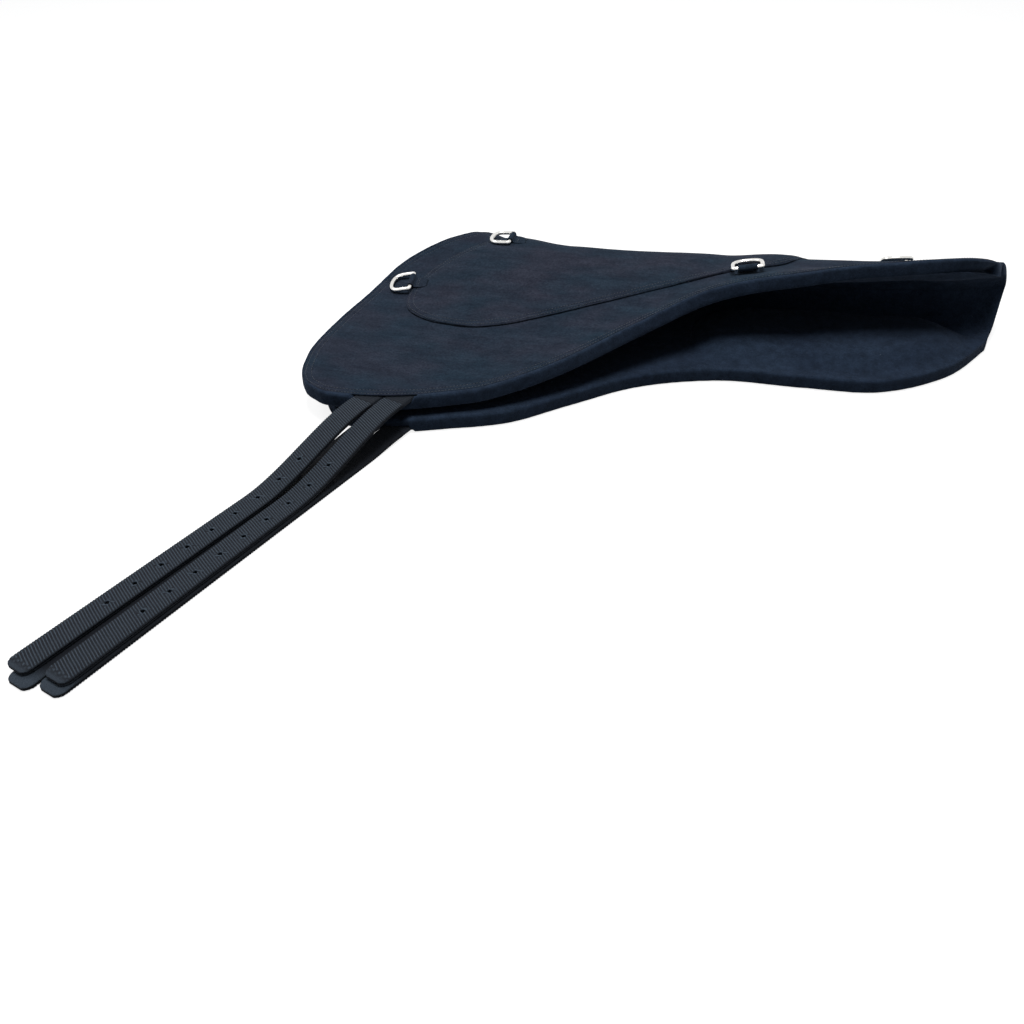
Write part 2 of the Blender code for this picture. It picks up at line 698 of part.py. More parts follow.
def punch_hole(work, layers, a, half, middle, levels):
    """Eight-sided hole through a ply, joined to the grid around it."""
    around = ((1, 0), (1, 1), (0, 1), (-1, 1), (-1, 0), (-1, -1), (0, -1), (1, -1))
    rings = []
    for sheet, level in zip(layers, levels):
        ring = []
        for step in range(len(around)):
            turn = 2 * math.pi * step / len(around)
            s = middle + HOLE_DIAMETER / 2 * math.cos(turn)
            t = HOLE_DIAMETER / 2 * math.sin(turn)
            ring.append(work.verts.new((s, t, billet_floor(half, s) + level)))
        rings.append(ring)
        for step in range(len(around)):
            nxt = (step + 1) % len(around)
            here, there = around[step], around[nxt]
            work.faces.new((ring[step], sheet[a + here[0], 2 + here[1]],
                            sheet[a + there[0], 2 + there[1]], ring[nxt]))
    for step in range(len(around)):
        nxt = (step + 1) % len(around)
        work.faces.new((rings[0][step], rings[0][nxt], rings[1][nxt], rings[1][step]))


def wall_edges(work, layers, last_a, last_b):
    """Side walls round the outline of a two-layer sheet."""
    outline = [(a, 0) for a in range(last_a)]
    outline += [(last_a, b) for b in range(last_b)]
    outline += [(a, last_b) for a in range(last_a, 0, -1)]
    outline += [(0, b) for b in range(last_b, 0, -1)]
    for first, second in zip(outline, outline[1:] + outline[:1]):
        work.faces.new((layers[0][first], layers[0][second], layers[1][second],
                        layers[1][first]))


def anchor_mesh(half):
    """The sewn-in end of a billet, in the root's frame, behind the root."""
    low = billet_floor(half, 0)
    high = low + billet_thickness()
    work = bmesh.new()
    back, front = -ROOT_CLEARANCE - ANCHOR_LENGTH, -ROOT_CLEARANCE
    width = BILLET_WIDTH / 2
    corners = [(x, y, z) for x in (back, front) for y in (-width, width) for z in (low, high)]
    for corner in corners:
        work.verts.new(corner)
    bmesh.ops.convex_hull(work, input=work.verts)
    return finish_mesh(work, "billet_anchor", smooth=False)


def make_billets(half, finishes):
    """Two billets of a half.  The ribbed web is on the pad's outer side."""
    side = HALF_NAMES[half]
    near = WEB_THICKNESS if half == RIGHT else BACKING_THICKNESS
    split = near + PLY_GAP
    anchor = anchor_mesh(half)
    for name in BILLET_NAMES:
        extra = BILLETS[half, name][1]
        lower = ply_mesh(half, extra, 0.0, near)
        upper = ply_mesh(half, extra, split, billet_thickness())
        web, backing = (upper, lower) if half == LEFT else (lower, upper)
        root, run = billet_root(half, name)
        across = Vector((0, 0, 1)).cross(run)
        rotation = Matrix((run, across, Vector((0, 0, 1)))).transposed()
        matrix = Matrix.Translation(root) @ rotation.to_4x4()
        add_object(f"billet_web_{name}_{side}", web, finishes["webbing"], matrix)
        add_object(f"billet_backing_{name}_{side}", backing, finishes["backing"], matrix)
        add_object(f"billet_anchor_{name}_{side}", anchor, finishes["webbing"], matrix)


def make_finishes():
    return {
        "felt": material("felt", (0.024, 0.030, 0.045), 0.95),
        "foam": material("foam", (0.35, 0.34, 0.30), 0.9),
        "suede": material("suede", (0.018, 0.022, 0.032), 0.85),
        "seat": material("seat_suede", (0.017, 0.020, 0.030), 0.82),
        "webbing": material("webbing", (0.012, 0.014, 0.020), 0.7),
        "backing": material("backing_web", (0.012, 0.020, 0.034), 0.75),
        "chrome": material("nickel_plate", (0.78, 0.78, 0.76), 0.18, 1.0),
    }


def centre_on_base():
    """Move everything so that the origin is the middle of the base."""
    bpy.context.view_layer.update()
    points = [item.matrix_world @ vertex.co for item in bpy.context.scene.objects
              for vertex in item.data.vertices]
    low = Vector([min(point[axis] for point in points) for axis in range(3)])
    high = Vector([max(point[axis] for point in points) for axis in range(3)])
    shift = Vector(((low.x + high.x) / 2, (low.y + high.y) / 2, low.z))
    for item in bpy.context.scene.objects:
        item.location -= shift
    bpy.context.view_layer.update()


def main():
    clear_scene()
    finishes = make_finishes()
    for half in (RIGHT, LEFT):
        trees = make_half(half, finishes)
        make_rings(half, trees, finishes)
        make_billets(half, finishes)
    centre_on_base()


main()
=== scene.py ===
"""Looks of the bareback pad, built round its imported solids.

Every soft solid is replaced by a finer piece that is worked out from the same
surface as the solids: suede covers and seat panels with sewn edges, thick felt
with a cut rim, ribbed billets, folded ring tabs and round-wire rings.
"""

import json
import math

import bmesh
import bpy
import numpy as np
from mathutils import Matrix, Vector, noise
from mathutils.bvhtree import BVHTree

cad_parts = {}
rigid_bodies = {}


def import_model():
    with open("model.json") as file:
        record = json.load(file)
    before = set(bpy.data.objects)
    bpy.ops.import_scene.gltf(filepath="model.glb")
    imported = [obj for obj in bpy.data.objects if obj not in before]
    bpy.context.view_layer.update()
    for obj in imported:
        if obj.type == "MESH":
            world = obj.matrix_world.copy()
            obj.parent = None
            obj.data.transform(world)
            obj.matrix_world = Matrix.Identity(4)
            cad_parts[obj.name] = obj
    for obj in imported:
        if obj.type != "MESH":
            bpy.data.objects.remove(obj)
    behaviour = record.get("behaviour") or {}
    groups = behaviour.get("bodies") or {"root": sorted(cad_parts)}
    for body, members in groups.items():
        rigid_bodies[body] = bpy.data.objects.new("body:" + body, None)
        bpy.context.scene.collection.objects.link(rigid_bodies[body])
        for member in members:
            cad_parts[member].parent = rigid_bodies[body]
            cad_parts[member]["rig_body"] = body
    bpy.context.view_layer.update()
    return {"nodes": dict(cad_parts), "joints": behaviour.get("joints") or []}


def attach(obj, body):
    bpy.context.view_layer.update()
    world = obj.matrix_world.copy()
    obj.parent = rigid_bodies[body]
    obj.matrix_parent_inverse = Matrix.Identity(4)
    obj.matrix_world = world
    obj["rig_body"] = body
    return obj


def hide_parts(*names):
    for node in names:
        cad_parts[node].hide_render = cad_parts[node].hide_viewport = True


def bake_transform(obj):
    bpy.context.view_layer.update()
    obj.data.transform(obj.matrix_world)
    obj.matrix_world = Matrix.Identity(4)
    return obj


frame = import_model()

MM = 0.001
LEFT, RIGHT = 1, -1
SIDES = {LEFT: "left", RIGHT: "right"}

# Sizes of the solids, as in the part's own source
SPINE_LENGTH = 0.600
FLAP_DROP = 0.386
SPINE_DIP = 0.034
FRONT_SEAM_HEIGHT = 0.033
REAR_SEAM_HEIGHT = 0.055
MOUTH_HEIGHT = 0.110
SEAM_GAP = 0.0003
SUEDE = 0.0018
FOAM = 0.0050
PAD = 0.0150
LAYER_GAP = 0.0003
PANEL_GAP = 0.0004
SUEDE_INSET = 0.0060
BILLET_WIDTH = 0.024
BILLET_LENGTH = 0.3982
WEB = 0.0022
BACKING = 0.0019
PLY_GAP = 0.0003
BILLET_THICKNESS = WEB + PLY_GAP + BACKING
HOLE_RADIUS = 0.0019
HOLE_PITCH = 0.0277
HOLE_COUNT = 9
FIRST_HOLE = 0.0912
TIP_ROUND = 0.0085
LANDING_LENGTH = 0.154
LOWER_LANDING_LENGTH = 0.050
ROOT_FLAT = 0.005
ROOT_CLEARANCE = 0.0027
ANCHOR_LENGTH = 0.042
POCKET_GAP = 0.0003
RING_WIDTH = 0.0262
RING_DEPTH = 0.0190
RING_WIRE = 0.0047
TAB_WIDTH = 0.0205
TAB_LENGTH = 0.018
TAB_PLY = 0.0011
TAB_CLEARANCE = 0.00025
SEAT_CLEARANCE = 0.00035
RING_GROUND_GAP = 0.00085
RING_LIFT = (PANEL_GAP + SUEDE + SEAT_CLEARANCE + RING_WIRE
             + 2 * (TAB_CLEARANCE + TAB_PLY) + RING_GROUND_GAP)
LIFT_CORE = 0.040
LIFT_REACH = 0.088
LIFT_START_SHARE = 0.06
LIFT_END_SHARE = 0.33
PANEL_LIFT = PANEL_GAP + SUEDE + 0.0003

DIP_SHARES = ((0, 0), (0.07, 0.42), (0.20, 0.85), (0.45, 1.0), (0.72, 1.05), (0.87, 0.8), (1, 0.1))
TOP_SHARES = ((0, 0.58), (0.05, 0.56), (0.12, 0.57), (0.25, 0.60), (0.5, 0.70), (0.62, 0.80),
              (0.75, 0.86), (0.87, 0.86), (1, 0.79))
BEND_SHARES = ((0, 1.3), (0.3, 1.4), (0.6, 1.58), (0.75, 1.55), (0.88, 1.2), (1, 0.9))
POINT_SHARES = ((0, 1.0), (0.8, 1.0), (1, 1.25))
LEVEL_SHARES = ((0, 0.5), (0.3, 0.86), (1, 0.9))
SEAM_SHARES = ((0, 0.50), (0.08, 0.59), (0.2, 0.63), (0.35, 0.60), (0.5, 0.62), (0.65, 0.70),
               (1, 0.7))
FRONT_SHARES = ((0, 0), (-0.012, 0.062), (-0.077, 0.158), (-0.137, 0.288), (-0.174, 0.5),
                (-0.192, 0.736), (-0.186, 0.85), (-0.174, 0.915), (-0.157, 0.955))
RIM_RIGHT_SHARES = ((-0.118, 0.945, 0), (-0.08, 0.990, 0), (0, 0.992, 0), (0.087, 0.945, 0),
                    (0.18, 0.880, 0), (0.265, 0.764, 0), (0.373, 0.624, 0), (0.508, 0.540, 0),
                    (0.647, 0.526, 0), (0.783, 0.500, 0), (0.90, 0.372, 0), (0.975, 0.19, 0))
RIM_LEFT_SHARES = ((-0.157, 0.955, 0.345), (-0.137, 0.978, 0.345), (-0.10, 0.998, 0.345),
                   (0, 0.979, 0.345), (0.087, 0.925, 0.345), (0.15, 0.878, 0.37), (0.248, 0.762, 0.464),
                   (0.362, 0.58, 0.61), (0.453, 0.455, 0.75), (0.535, 0.409, 0.86),
                   (0.617, 0.386, 0.94), (0.717, 0.329, 0.99), (0.783, 0.303, 1.015),
                   (0.852, 0.267, 1.03), (0.90, 0.232, 1.01), (0.935, 0.195, 0.955),
                   (0.955, 0.155, 0.88))
RINGS = {
    "front_outer": {LEFT: (0.050, 0.435), RIGHT: (0.062, 0.420), "tab": (1.0, 0.10)},
    "front_inner": {LEFT: (0.088, 0.130), RIGHT: (0.072, 0.150), "tab": (1.0, 0.0)},
    "rear_outer": {LEFT: (0.618, 0.785), RIGHT: (0.600, 0.640), "tab": (-0.10, 1.0)},
    "rear_inner": {LEFT: (0.800, 0.300), RIGHT: (0.800, 0.500), "tab": (-0.10, 1.0)},
}
RING_PAIRS = (("front_outer", "front_inner"), ("rear_outer", "rear_inner"))
# Each billet's slant towards the front in degrees, and its length before the standard one
BILLETS = {
    (LEFT, "front"): (20.4, 0.0),
    (LEFT, "rear"): (19.4, 0.0065),
    (RIGHT, "front"): (19.2, 0.0055),
    (RIGHT, "rear"): (19.4, 0.0095),
}

JOINTS = {joint["name"]: joint for joint in frame["joints"]}
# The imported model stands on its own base; the surface is worked out from the spine's front
SHIFT = np.array(JOINTS["spine_fold"]["pos_m"]) - (0, 0, FRONT_SEAM_HEIGHT)


# Surface of the pad

def ease(value):
    value = np.clip(value, 0, 1)
    return value * value * (3 - 2 * value)


def lookup(table, share):
    """Values at shares, eased between the table's (share, value) points."""
    known, values = np.array(table, float).T
    k = np.clip(np.searchsorted(known, share, side="left") - 1, 0, len(known) - 2)
    part = (share - known[k]) / (known[k + 1] - known[k])
    return values[k] + (values[k + 1] - values[k]) * ease(part)


def curve(points, share):
    """Points at shares of the length of a smooth curve through the points."""
    steps = np.linalg.norm(np.diff(points, axis=0), axis=1)
    lengths = np.concatenate(([0], np.cumsum(steps)))
    wanted = np.asarray(share, float) * lengths[-1]
    k = np.searchsorted(lengths[1:-1], wanted, side="left")
    t = ((wanted - lengths[k]) / steps[k])[..., None]
    start, end = points[k], points[k + 1]
    tangent_in = (end - points[np.maximum(k - 1, 0)]) / 2
    tangent_out = (points[np.minimum(k + 2, len(points) - 1)] - start) / 2
    square, cube = t * t, t * t * t
    return (start * (2 * cube - 3 * square + 1) + tangent_in * (cube - 2 * square + t)
            + end * (3 * square - 2 * cube) + tangent_out * (cube - square))


SCALE = np.array([SPINE_LENGTH, -FLAP_DROP, MOUTH_HEIGHT])
FRONT_EDGE = np.array([(x, y, 0) for x, y in FRONT_SHARES]) * SCALE
RIMS = {LEFT: np.array(RIM_LEFT_SHARES) * SCALE, RIGHT: np.array(RIM_RIGHT_SHARES) * SCALE}


# Direction across the seam between the halves
SEAM_UP = np.array([-(REAR_SEAM_HEIGHT - FRONT_SEAM_HEIGHT) / SPINE_LENGTH, 0, 1])
SEAM_UP = SEAM_UP / np.linalg.norm(SEAM_UP)


def seam_height(u):
    return FRONT_SEAM_HEIGHT + (REAR_SEAM_HEIGHT - FRONT_SEAM_HEIGHT) * u


def section(half, u):
    """Sizes of cross sections: spine point, rim point, plan length, middle, height, depth, bend."""
    rim = curve(RIMS[half], u)
    start = np.stack([SPINE_LENGTH * u, -SPINE_DIP * lookup(DIP_SHARES, u), 0 * u], -1)
    plan = np.hypot(rim[..., 0] - start[..., 0], rim[..., 1] - start[..., 1])
    middle = seam_height(u) + half * SEAM_GAP / 2
    top = lookup(TOP_SHARES, u) * MOUTH_HEIGHT if half == LEFT else 0 * u
    height = np.abs(top - middle)
    depth = np.minimum(lookup(BEND_SHARES, u) * height, plan * 0.95)
    bend = math.pi / 2 * np.sqrt((depth ** 2 + height ** 2) / 2)
    return start, rim, plan, middle, height, depth, bend


def section_length(half, u):
    _, _, plan, _, _, depth, bend = section(half, np.asarray(u, float))
    return plan - depth + bend


def surface(half, u, v, lifted=True):
    """Points of a half's outer surface: u along the spine, v from spine to rim."""
    u, v = np.broadcast_arrays(np.asarray(u, float), np.asarray(v, float))
    start, rim, plan, middle, height, depth, bend = section(half, u)
    bend_share = bend / (bend + plan - depth)
    turn = math.pi / 2 * np.clip(v / bend_share, 0, 1)
    point = lookup(POINT_SHARES, u)
    flat = np.clip((v - bend_share) / (1 - bend_share), 0, 1)
    run = depth * (1 - np.clip(np.cos(turn), 0, 1) ** point) + flat * (plan - depth)
    z = middle + half * height * np.sin(turn) ** point
    z = z + np.where(v >= bend_share, (rim[..., 2] - z) * ease(flat / lookup(LEVEL_SHARES, u)), 0)
    along = run / plan
    straight = FRONT_EDGE[0] + (FRONT_EDGE[-1] - FRONT_EDGE[0]) * along[..., None]
    bulge = curve(FRONT_EDGE, along) - straight
    place = start + (rim - start) * along[..., None] + bulge * ((1 - u) ** 3)[..., None]
    if half == RIGHT and lifted:
        fade = ease(v / LIFT_START_SHARE) * ease((1 - v) / LIFT_END_SHARE)
        z = np.maximum(z, ring_lift(place) * fade)
        # The seat panel under the lower half raises it too
        mask = ease((u - 0.012) / 0.035) * ease((0.725 - u) / 0.05)
        mask = mask * ease((lookup(SEAM_SHARES, u) + 0.07 - v) / 0.06)
        z = np.maximum(z, PANEL_LIFT * mask)
    return np.stack([place[..., 0], place[..., 1], z], -1) + SHIFT


def ring_lift(place):
    """How far the lower half is raised by the rings and tabs that lie under it."""
    highest = np.zeros(place.shape[:-1])
    for start, along in RING_LINES:
        share = np.clip((place[..., :2] - start) @ along / (along @ along), 0, 1)
        nearest = start + share[..., None] * along
        distance = np.linalg.norm(place[..., :2] - nearest, axis=-1)
        share = (LIFT_REACH - distance) / (LIFT_REACH - LIFT_CORE)
        highest = np.maximum(highest, RING_LIFT * ease(share))
    return highest


RING_LINES = []
for pair in RING_PAIRS:
    ends = [(surface(RIGHT, *RINGS[name][RIGHT], lifted=False) - SHIFT)[:2] for name in pair]
    RING_LINES.append((ends[0], ends[1] - ends[0]))


def unit(vectors):
    return vectors / np.maximum(np.linalg.norm(vectors, axis=-1, keepdims=True), 1e-12)


def normals(half, u, v, probe=0.0005):
    """Unit normals of the outer surface, pointing out of the pad."""
    u, v = np.broadcast_arrays(np.asarray(u, float), np.asarray(v, float))
    u0, u1 = np.maximum(u - probe, 0), np.minimum(u + probe, 1)
    v0, v1 = np.maximum(v - probe, 0), np.minimum(v + probe, 1)
    along = surface(half, u1, v) - surface(half, u0, v)
    down = surface(half, u, v1) - surface(half, u, v0)
    normal = unit(np.cross(along, down) * -half)
    flat = unit(normal - SEAM_UP * (normal @ SEAM_UP)[..., None])
    return np.where((v <= 0)[..., None], flat, normal)


def spread(start, stop, step):
    return np.linspace(start, stop, max(2, int(round(abs(stop - start) / step)) + 1))


def layer(half, u, v, depth):
    """Points at depths below the outer surface; beside the spine they stay on their side."""
    face = normals(half, u, v)
    if half == LEFT:
        # At the tightly curved rear corner the layers take a smoothed direction
        corner = ease((np.asarray(u) - 0.84) / 0.10) * ease((np.asarray(v) - 0.50) / 0.35)
        face = unit(face + (normals(half, u, v, 0.05) - face) * corner[..., None])
    points = surface(half, u, v) - face * np.asarray(depth)[..., None]
    seam = seam_height((points[..., 0] - SHIFT[0]) / SPINE_LENGTH)
    crossing = (np.asarray(v) < 0.25) & (half * (points[..., 2] - seam) < SEAM_GAP / 2)
    points[..., 2] = np.where(crossing, seam + half * SEAM_GAP / 2, points[..., 2])
    return points


def running_lengths(points):
    """Length of a line of points up to each of them."""
    steps = np.linalg.norm(np.diff(points, axis=0), axis=1)
    return np.concatenate(([0], np.cumsum(steps)))


def at_lengths(wanted, lengths, values):
    return np.stack([np.interp(wanted, lengths, column) for column in values.T], -1)


def smooth_line(points, passes):
    for _ in range(passes):
        points[1:-1] = (points[:-2] + points[1:-1] * 2 + points[2:]) / 4
    return points


# Meshes

def change_mesh(mesh, change):
    work = bmesh.new()
    work.from_mesh(mesh)
    change(work)
    work.to_mesh(mesh)
    work.free()


def face_outwards(work):
    bmesh.ops.recalc_face_normals(work, faces=work.faces)
    if work.calc_volume(signed=True) < 0:
        bmesh.ops.reverse_faces(work, faces=work.faces)


def drop_loose(work):
    loose = [v for v in work.verts if not v.link_faces]
    bmesh.ops.delete(work, geom=loose, context="VERTS")


def weld(work):
    bmesh.ops.remove_doubles(work, verts=work.verts, dist=0.002 * MM)


def link(name, data):
    made = bpy.data.objects.new(name, data)
    bpy.context.scene.collection.objects.link(made)
    return made


def add_mesh(name, points, faces, finish, body, uv=None, painted_light=None, change=None):
    """Smooth-shaded piece with outward faces.  uv holds each point's place on the cloth,
    crest how much painted light the webbing's colour takes there (painted highlights, and the
    lit tips past the backing's painted shadow); change is a last step for the mesh."""
    mesh = bpy.data.meshes.new(name)
    mesh.from_pydata([tuple(p) for p in points], [], [tuple(int(i) for i in f) for f in faces])
    mesh.validate()
    if uv is not None:
        index = np.zeros(len(mesh.loops), int)
        mesh.loops.foreach_get("vertex_index", index)
        mesh.uv_layers.new(name="cloth").data.foreach_set("uv", np.asarray(uv, float)[index].ravel())
    change_mesh(mesh, face_outwards)
    if painted_light is not None:
        attribute = mesh.attributes.new("painted_light", "FLOAT", "POINT")
        attribute.data.foreach_set("value", np.asarray(painted_light, np.float32))
    if change:
        change_mesh(mesh, change)
    mesh.shade_smooth()
    mesh.materials.append(FINISHES[finish])
    made = link(name, mesh)
    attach(made, body)
    return made


def grid_distance(points, open_start=False, front_extra=0.0):
    """Distance of each grid point from the grid's border, counted along its lines.
    The line at the spine is no border when open_start is set."""
    steps_u = np.linalg.norm(np.diff(points, axis=0), axis=-1)
    steps_v = np.linalg.norm(np.diff(points, axis=1), axis=-1)
    from_u = np.concatenate([0 * points[:1, :, 0], np.cumsum(steps_u, 0)])
    from_v = np.concatenate([0 * points[:, :1, 0], np.cumsum(steps_v, 1)], 1)
    ends = [from_u + front_extra, from_u[-1:] - from_u, from_v[:, -1:] - from_v]
    if not open_start:
        ends.append(from_v)
    return np.minimum.reduce(ends)


def border_steps(n, m):
    """Indices round the border of an n by m grid."""
    return ([(i, 0) for i in range(n)] + [(n - 1, j) for j in range(1, m)]
            + [(i, m - 1) for i in range(n - 2, -1, -1)] + [(0, j) for j in range(m - 2, 0, -1)])


def band(first, second):
    """Quads between two closed rings of vertex numbers."""
    return list(zip(first, first[1:] + first[:1], second[1:] + second[:1], second))


def grid_quads(index):
    return np.stack([index[:-1, :-1], index[1:, :-1], index[1:, 1:], index[:-1, 1:]], -1)


def shell_faces(top, bottom):
    """Faces of a closed sheet whose two layers have these vertex numbers."""
    faces = [*grid_quads(top).reshape(-1, 4), *grid_quads(bottom).reshape(-1, 4)[:, ::-1]]
    border = border_steps(*top.shape)
    for a, b in zip(border, border[1:] + border[:1]):
        wall = [top[b], top[a], bottom[a], bottom[b]]
        wall = [x for k, x in enumerate(wall) if x != wall[k - 1]]
        if len(wall) > 2:
            faces.append(wall)
    return faces


def round_edge(distance, radius, power):
    """From 0 at the border to 1 a radius inside it, along a rounded edge."""
    inside = 1 - np.clip(distance / radius, 0, 1)
    return (1 - inside ** power) ** (1 / power)


def flat_uv(x, y):
    return np.stack([x, y], -1).reshape(-1, 2)


def edge_rows(radius, power, count):
    """Distances from the border that step evenly round the edge."""
    rise = np.linspace(0, 1, count + 1)
    return radius * (1 - (1 - rise ** power) ** (1 / power))


def closed_sheet(name, outer, inner, distance, radius, power, finish, body, slot, uv):
    """Sheet between two grids of points, with its edge rounded off to the middle."""
    share = round_edge(distance, radius, power)[..., None] / 2
    top = outer * (0.5 + share) + inner * (0.5 - share)
    bottom = outer * (0.5 - share) + inner * (0.5 + share)
    welded = share[..., 0] < 1e-6
    count = welded.size
    top_index = np.arange(count).reshape(welded.shape)
    bottom_index = np.where(welded, top_index, top_index + count)
    points = np.concatenate([top.reshape(-1, 3), bottom.reshape(-1, 3)])
    faces = shell_faces(top_index, bottom_index)
    uv = np.concatenate([uv, uv])
    return add_mesh(name, points, faces, finish, body, uv, change=drop_loose)


def rough(points, size, seed):
    """Smooth noise between about -1 and 1 at points, with features of a size."""
    flat = points.reshape(-1, 3) / size + seed
    values = [noise.fractal(Vector(p), 0.8, 2.1, 2) for p in flat]
    return np.array(values).reshape(points.shape[:-1])


def tree_of(made):
    return BVHTree.FromPolygons([made.matrix_world @ v.co for v in made.data.vertices],
                                [tuple(p.vertices) for p in made.data.polygons])


# Materials

def scaled(tone, share):
    return tuple(c * share for c in tone)


class Nodes:
    """Nodes of a material or of the world, built with short calls."""

    def __init__(self, name, kind="materials", shader="Principled BSDF"):
        self.owner = getattr(bpy.data, kind).new(name)
        self.owner.use_nodes = True
        self.tree = self.owner.node_tree
        self.shader = self.tree.nodes[shader]

    def add(self, kind, links=(), **settings):
        node = self.tree.nodes.new(kind)
        for key, value in settings.items():
            if hasattr(node, key):
                setattr(node, key, value)
            else:
                node.inputs[key.replace("_", " ")].default_value = value
        for socket, source in dict(links).items():
            self.tree.links.new(source, node.inputs[socket])
        return node

    def feed(self, socket, value):
        """Give a socket a number or a colour, or link another socket to it."""
        if isinstance(value, bpy.types.NodeSocket):
            self.tree.links.new(value, socket)
        else:
            socket.default_value = (*value, 1.0) if isinstance(value, tuple) else value

    def finish(self, shader, output):
        self.tree.links.new(shader.outputs[0], self.tree.nodes[output].inputs["Surface"])

    def seen_directly(self):
        """1 for rays from the camera, mirrors and glass, 0 for rays that carry light."""
        path = self.add("ShaderNodeLightPath").outputs
        value = path["Is Camera Ray"]
        for other in ("Is Glossy Ray", "Is Transmission Ray"):
            value = self.math("MAXIMUM", value, path[other])
        return value

    def spot(self):
        return self.add("ShaderNodeTexCoord").outputs["Object"]

    def cloth(self):
        return self.add("ShaderNodeUVMap", uv_map="cloth").outputs["UV"]

    def noise(self, vector, scale, detail=2.0, rough=0.5):
        made = self.add("ShaderNodeTexNoise", {"Vector": vector}, Scale=scale, Detail=detail,
                        Roughness=rough)
        return made.outputs["Fac"]

    def ramp(self, value, stops):
        made = self.add("ShaderNodeValToRGB", {"Fac": value})
        ramp = made.color_ramp
        while len(ramp.elements) < len(stops):
            ramp.elements.new(0.5)
        for element, (place, colour) in zip(ramp.elements, stops):
            element.position = place
            element.color = (*colour, 1.0)
        return made.outputs["Color"]

    def math(self, kind, a, b=0.0):
        made = self.add("ShaderNodeMath", operation=kind)
        self.feed(made.inputs[0], a)
        self.feed(made.inputs[1], b)
        return made.outputs["Value"]

    def mix(self, factor, a, b, blend="MIX"):
        made = self.add("ShaderNodeMix", data_type="RGBA", blend_type=blend)
        for number, value in ((0, factor), (6, a), (7, b)):
            self.feed(made.inputs[number], value)
        return made.outputs[2]

    def shade(self, factor, tint, value, low, high):
        """The tint darkened where the value is low and lightened where it is high."""
        return self.mix(factor, tint, self.ramp(value, (low, high)), "MULTIPLY")

    def stretch(self, vector, scale):
        return self.add("ShaderNodeMapping", {"Vector": vector}, Scale=scale).outputs["Vector"]

    def bump(self, height, distance, strength=1.0):
        made = self.add("ShaderNodeBump", {"Height": height}, Distance=distance, Strength=strength)
        return made.outputs["Normal"]

    def set(self, **values):
        for key, value in values.items():
            self.feed(self.shader.inputs[key.replace("_", " ")], value)


def suede_finish(name, tone, warm):
    """Brushed nap between two tones, in broad patches and fine strokes."""
    m = Nodes(name)
    spot, cloth = m.spot(), m.cloth()
    hue = m.noise(m.stretch(spot, (13.0, 22.0, 16.0)), 1.0, 3.0, 0.55)
    brushed = m.noise(m.stretch(cloth, (26.0, 60.0, 1.0)), 1.0, 5.0, 0.62)
    fine = m.noise(m.stretch(cloth, (150.0, 240.0, 1.0)), 1.0, 3.0, 0.6)
    nap = m.noise(spot, 1300.0, 2.0, 0.6)
    grain = m.noise(spot, 420.0, 3.0, 0.6)
    middle = tuple((a + b) / 2 for a, b in zip(tone, warm))
    tint = m.ramp(hue, ((0.36, tone), (0.50, middle), (0.62, warm)))
    tint = m.shade(1.0, tint, brushed, (0.30, (0.70, 0.71, 0.74)), (0.70, (1.32, 1.30, 1.26)))
    tint = m.shade(1.0, tint, fine, (0.30, (0.84, 0.84, 0.85)), (0.70, (1.16, 1.16, 1.15)))
    tint = m.shade(0.6, tint, grain, (0.32, (0.55, 0.57, 0.60)), (0.66, (1.5, 1.47, 1.42)))
    height = m.math("ADD", m.math("MULTIPLY", nap, 0.5), grain)
    m.set(Base_Color=tint, Roughness=0.92, Normal=m.bump(height, 0.00030, 0.7),
          Sheen_Weight=0.07, Sheen_Roughness=0.45, Sheen_Tint=(0.60, 0.72, 0.90),
          Specular_IOR_Level=0.06)
    return m.owner


def felt_finish(name, tone):
    """Matted wool with clumps, fuzz and a few specks of lint."""
    m = Nodes(name)
    spot = m.spot()
    fuzz = m.noise(spot, 620.0, 3.0, 0.7)
    clumps = m.noise(spot, 95.0, 4.0, 0.65)
    cloudy = m.noise(spot, 14.0, 2.0, 0.5)
    tint = m.ramp(clumps, ((0.30, scaled(tone, 0.7)), (0.7, scaled(tone, 1.35))))
    tint = m.shade(0.5, tint, fuzz, (0.3, (0.5, 0.5, 0.55)), (0.72, (1.6, 1.6, 1.6)))
    tint = m.shade(0.5, tint, cloudy, (0.35, (0.75, 0.75, 0.8)), (0.65, (1.2, 1.2, 1.18)))
    lint = m.add("ShaderNodeTexVoronoi", {"Vector": spot}, feature="F1", Scale=130.0)
    speck = m.ramp(lint.outputs["Distance"], ((0.0, (1, 1, 1)), (0.055, (0, 0, 0))))
    rare = m.ramp(m.noise(spot, 60.0, 0.0), ((0.62, (0, 0, 0)), (0.66, (1, 1, 1))))
    speck = m.math("MULTIPLY", speck, rare)
    tint = m.mix(speck, tint, (0.30, 0.33, 0.38))
    height = m.math("ADD", fuzz, m.math("MULTIPLY", clumps, 0.8))
    m.set(Base_Color=tint, Roughness=0.95, Normal=m.bump(height, 0.0007, 1.0),
          Sheen_Weight=0.10, Sheen_Roughness=0.5, Sheen_Tint=(0.55, 0.66, 0.88),
          Specular_IOR_Level=0.04)
    return m.owner


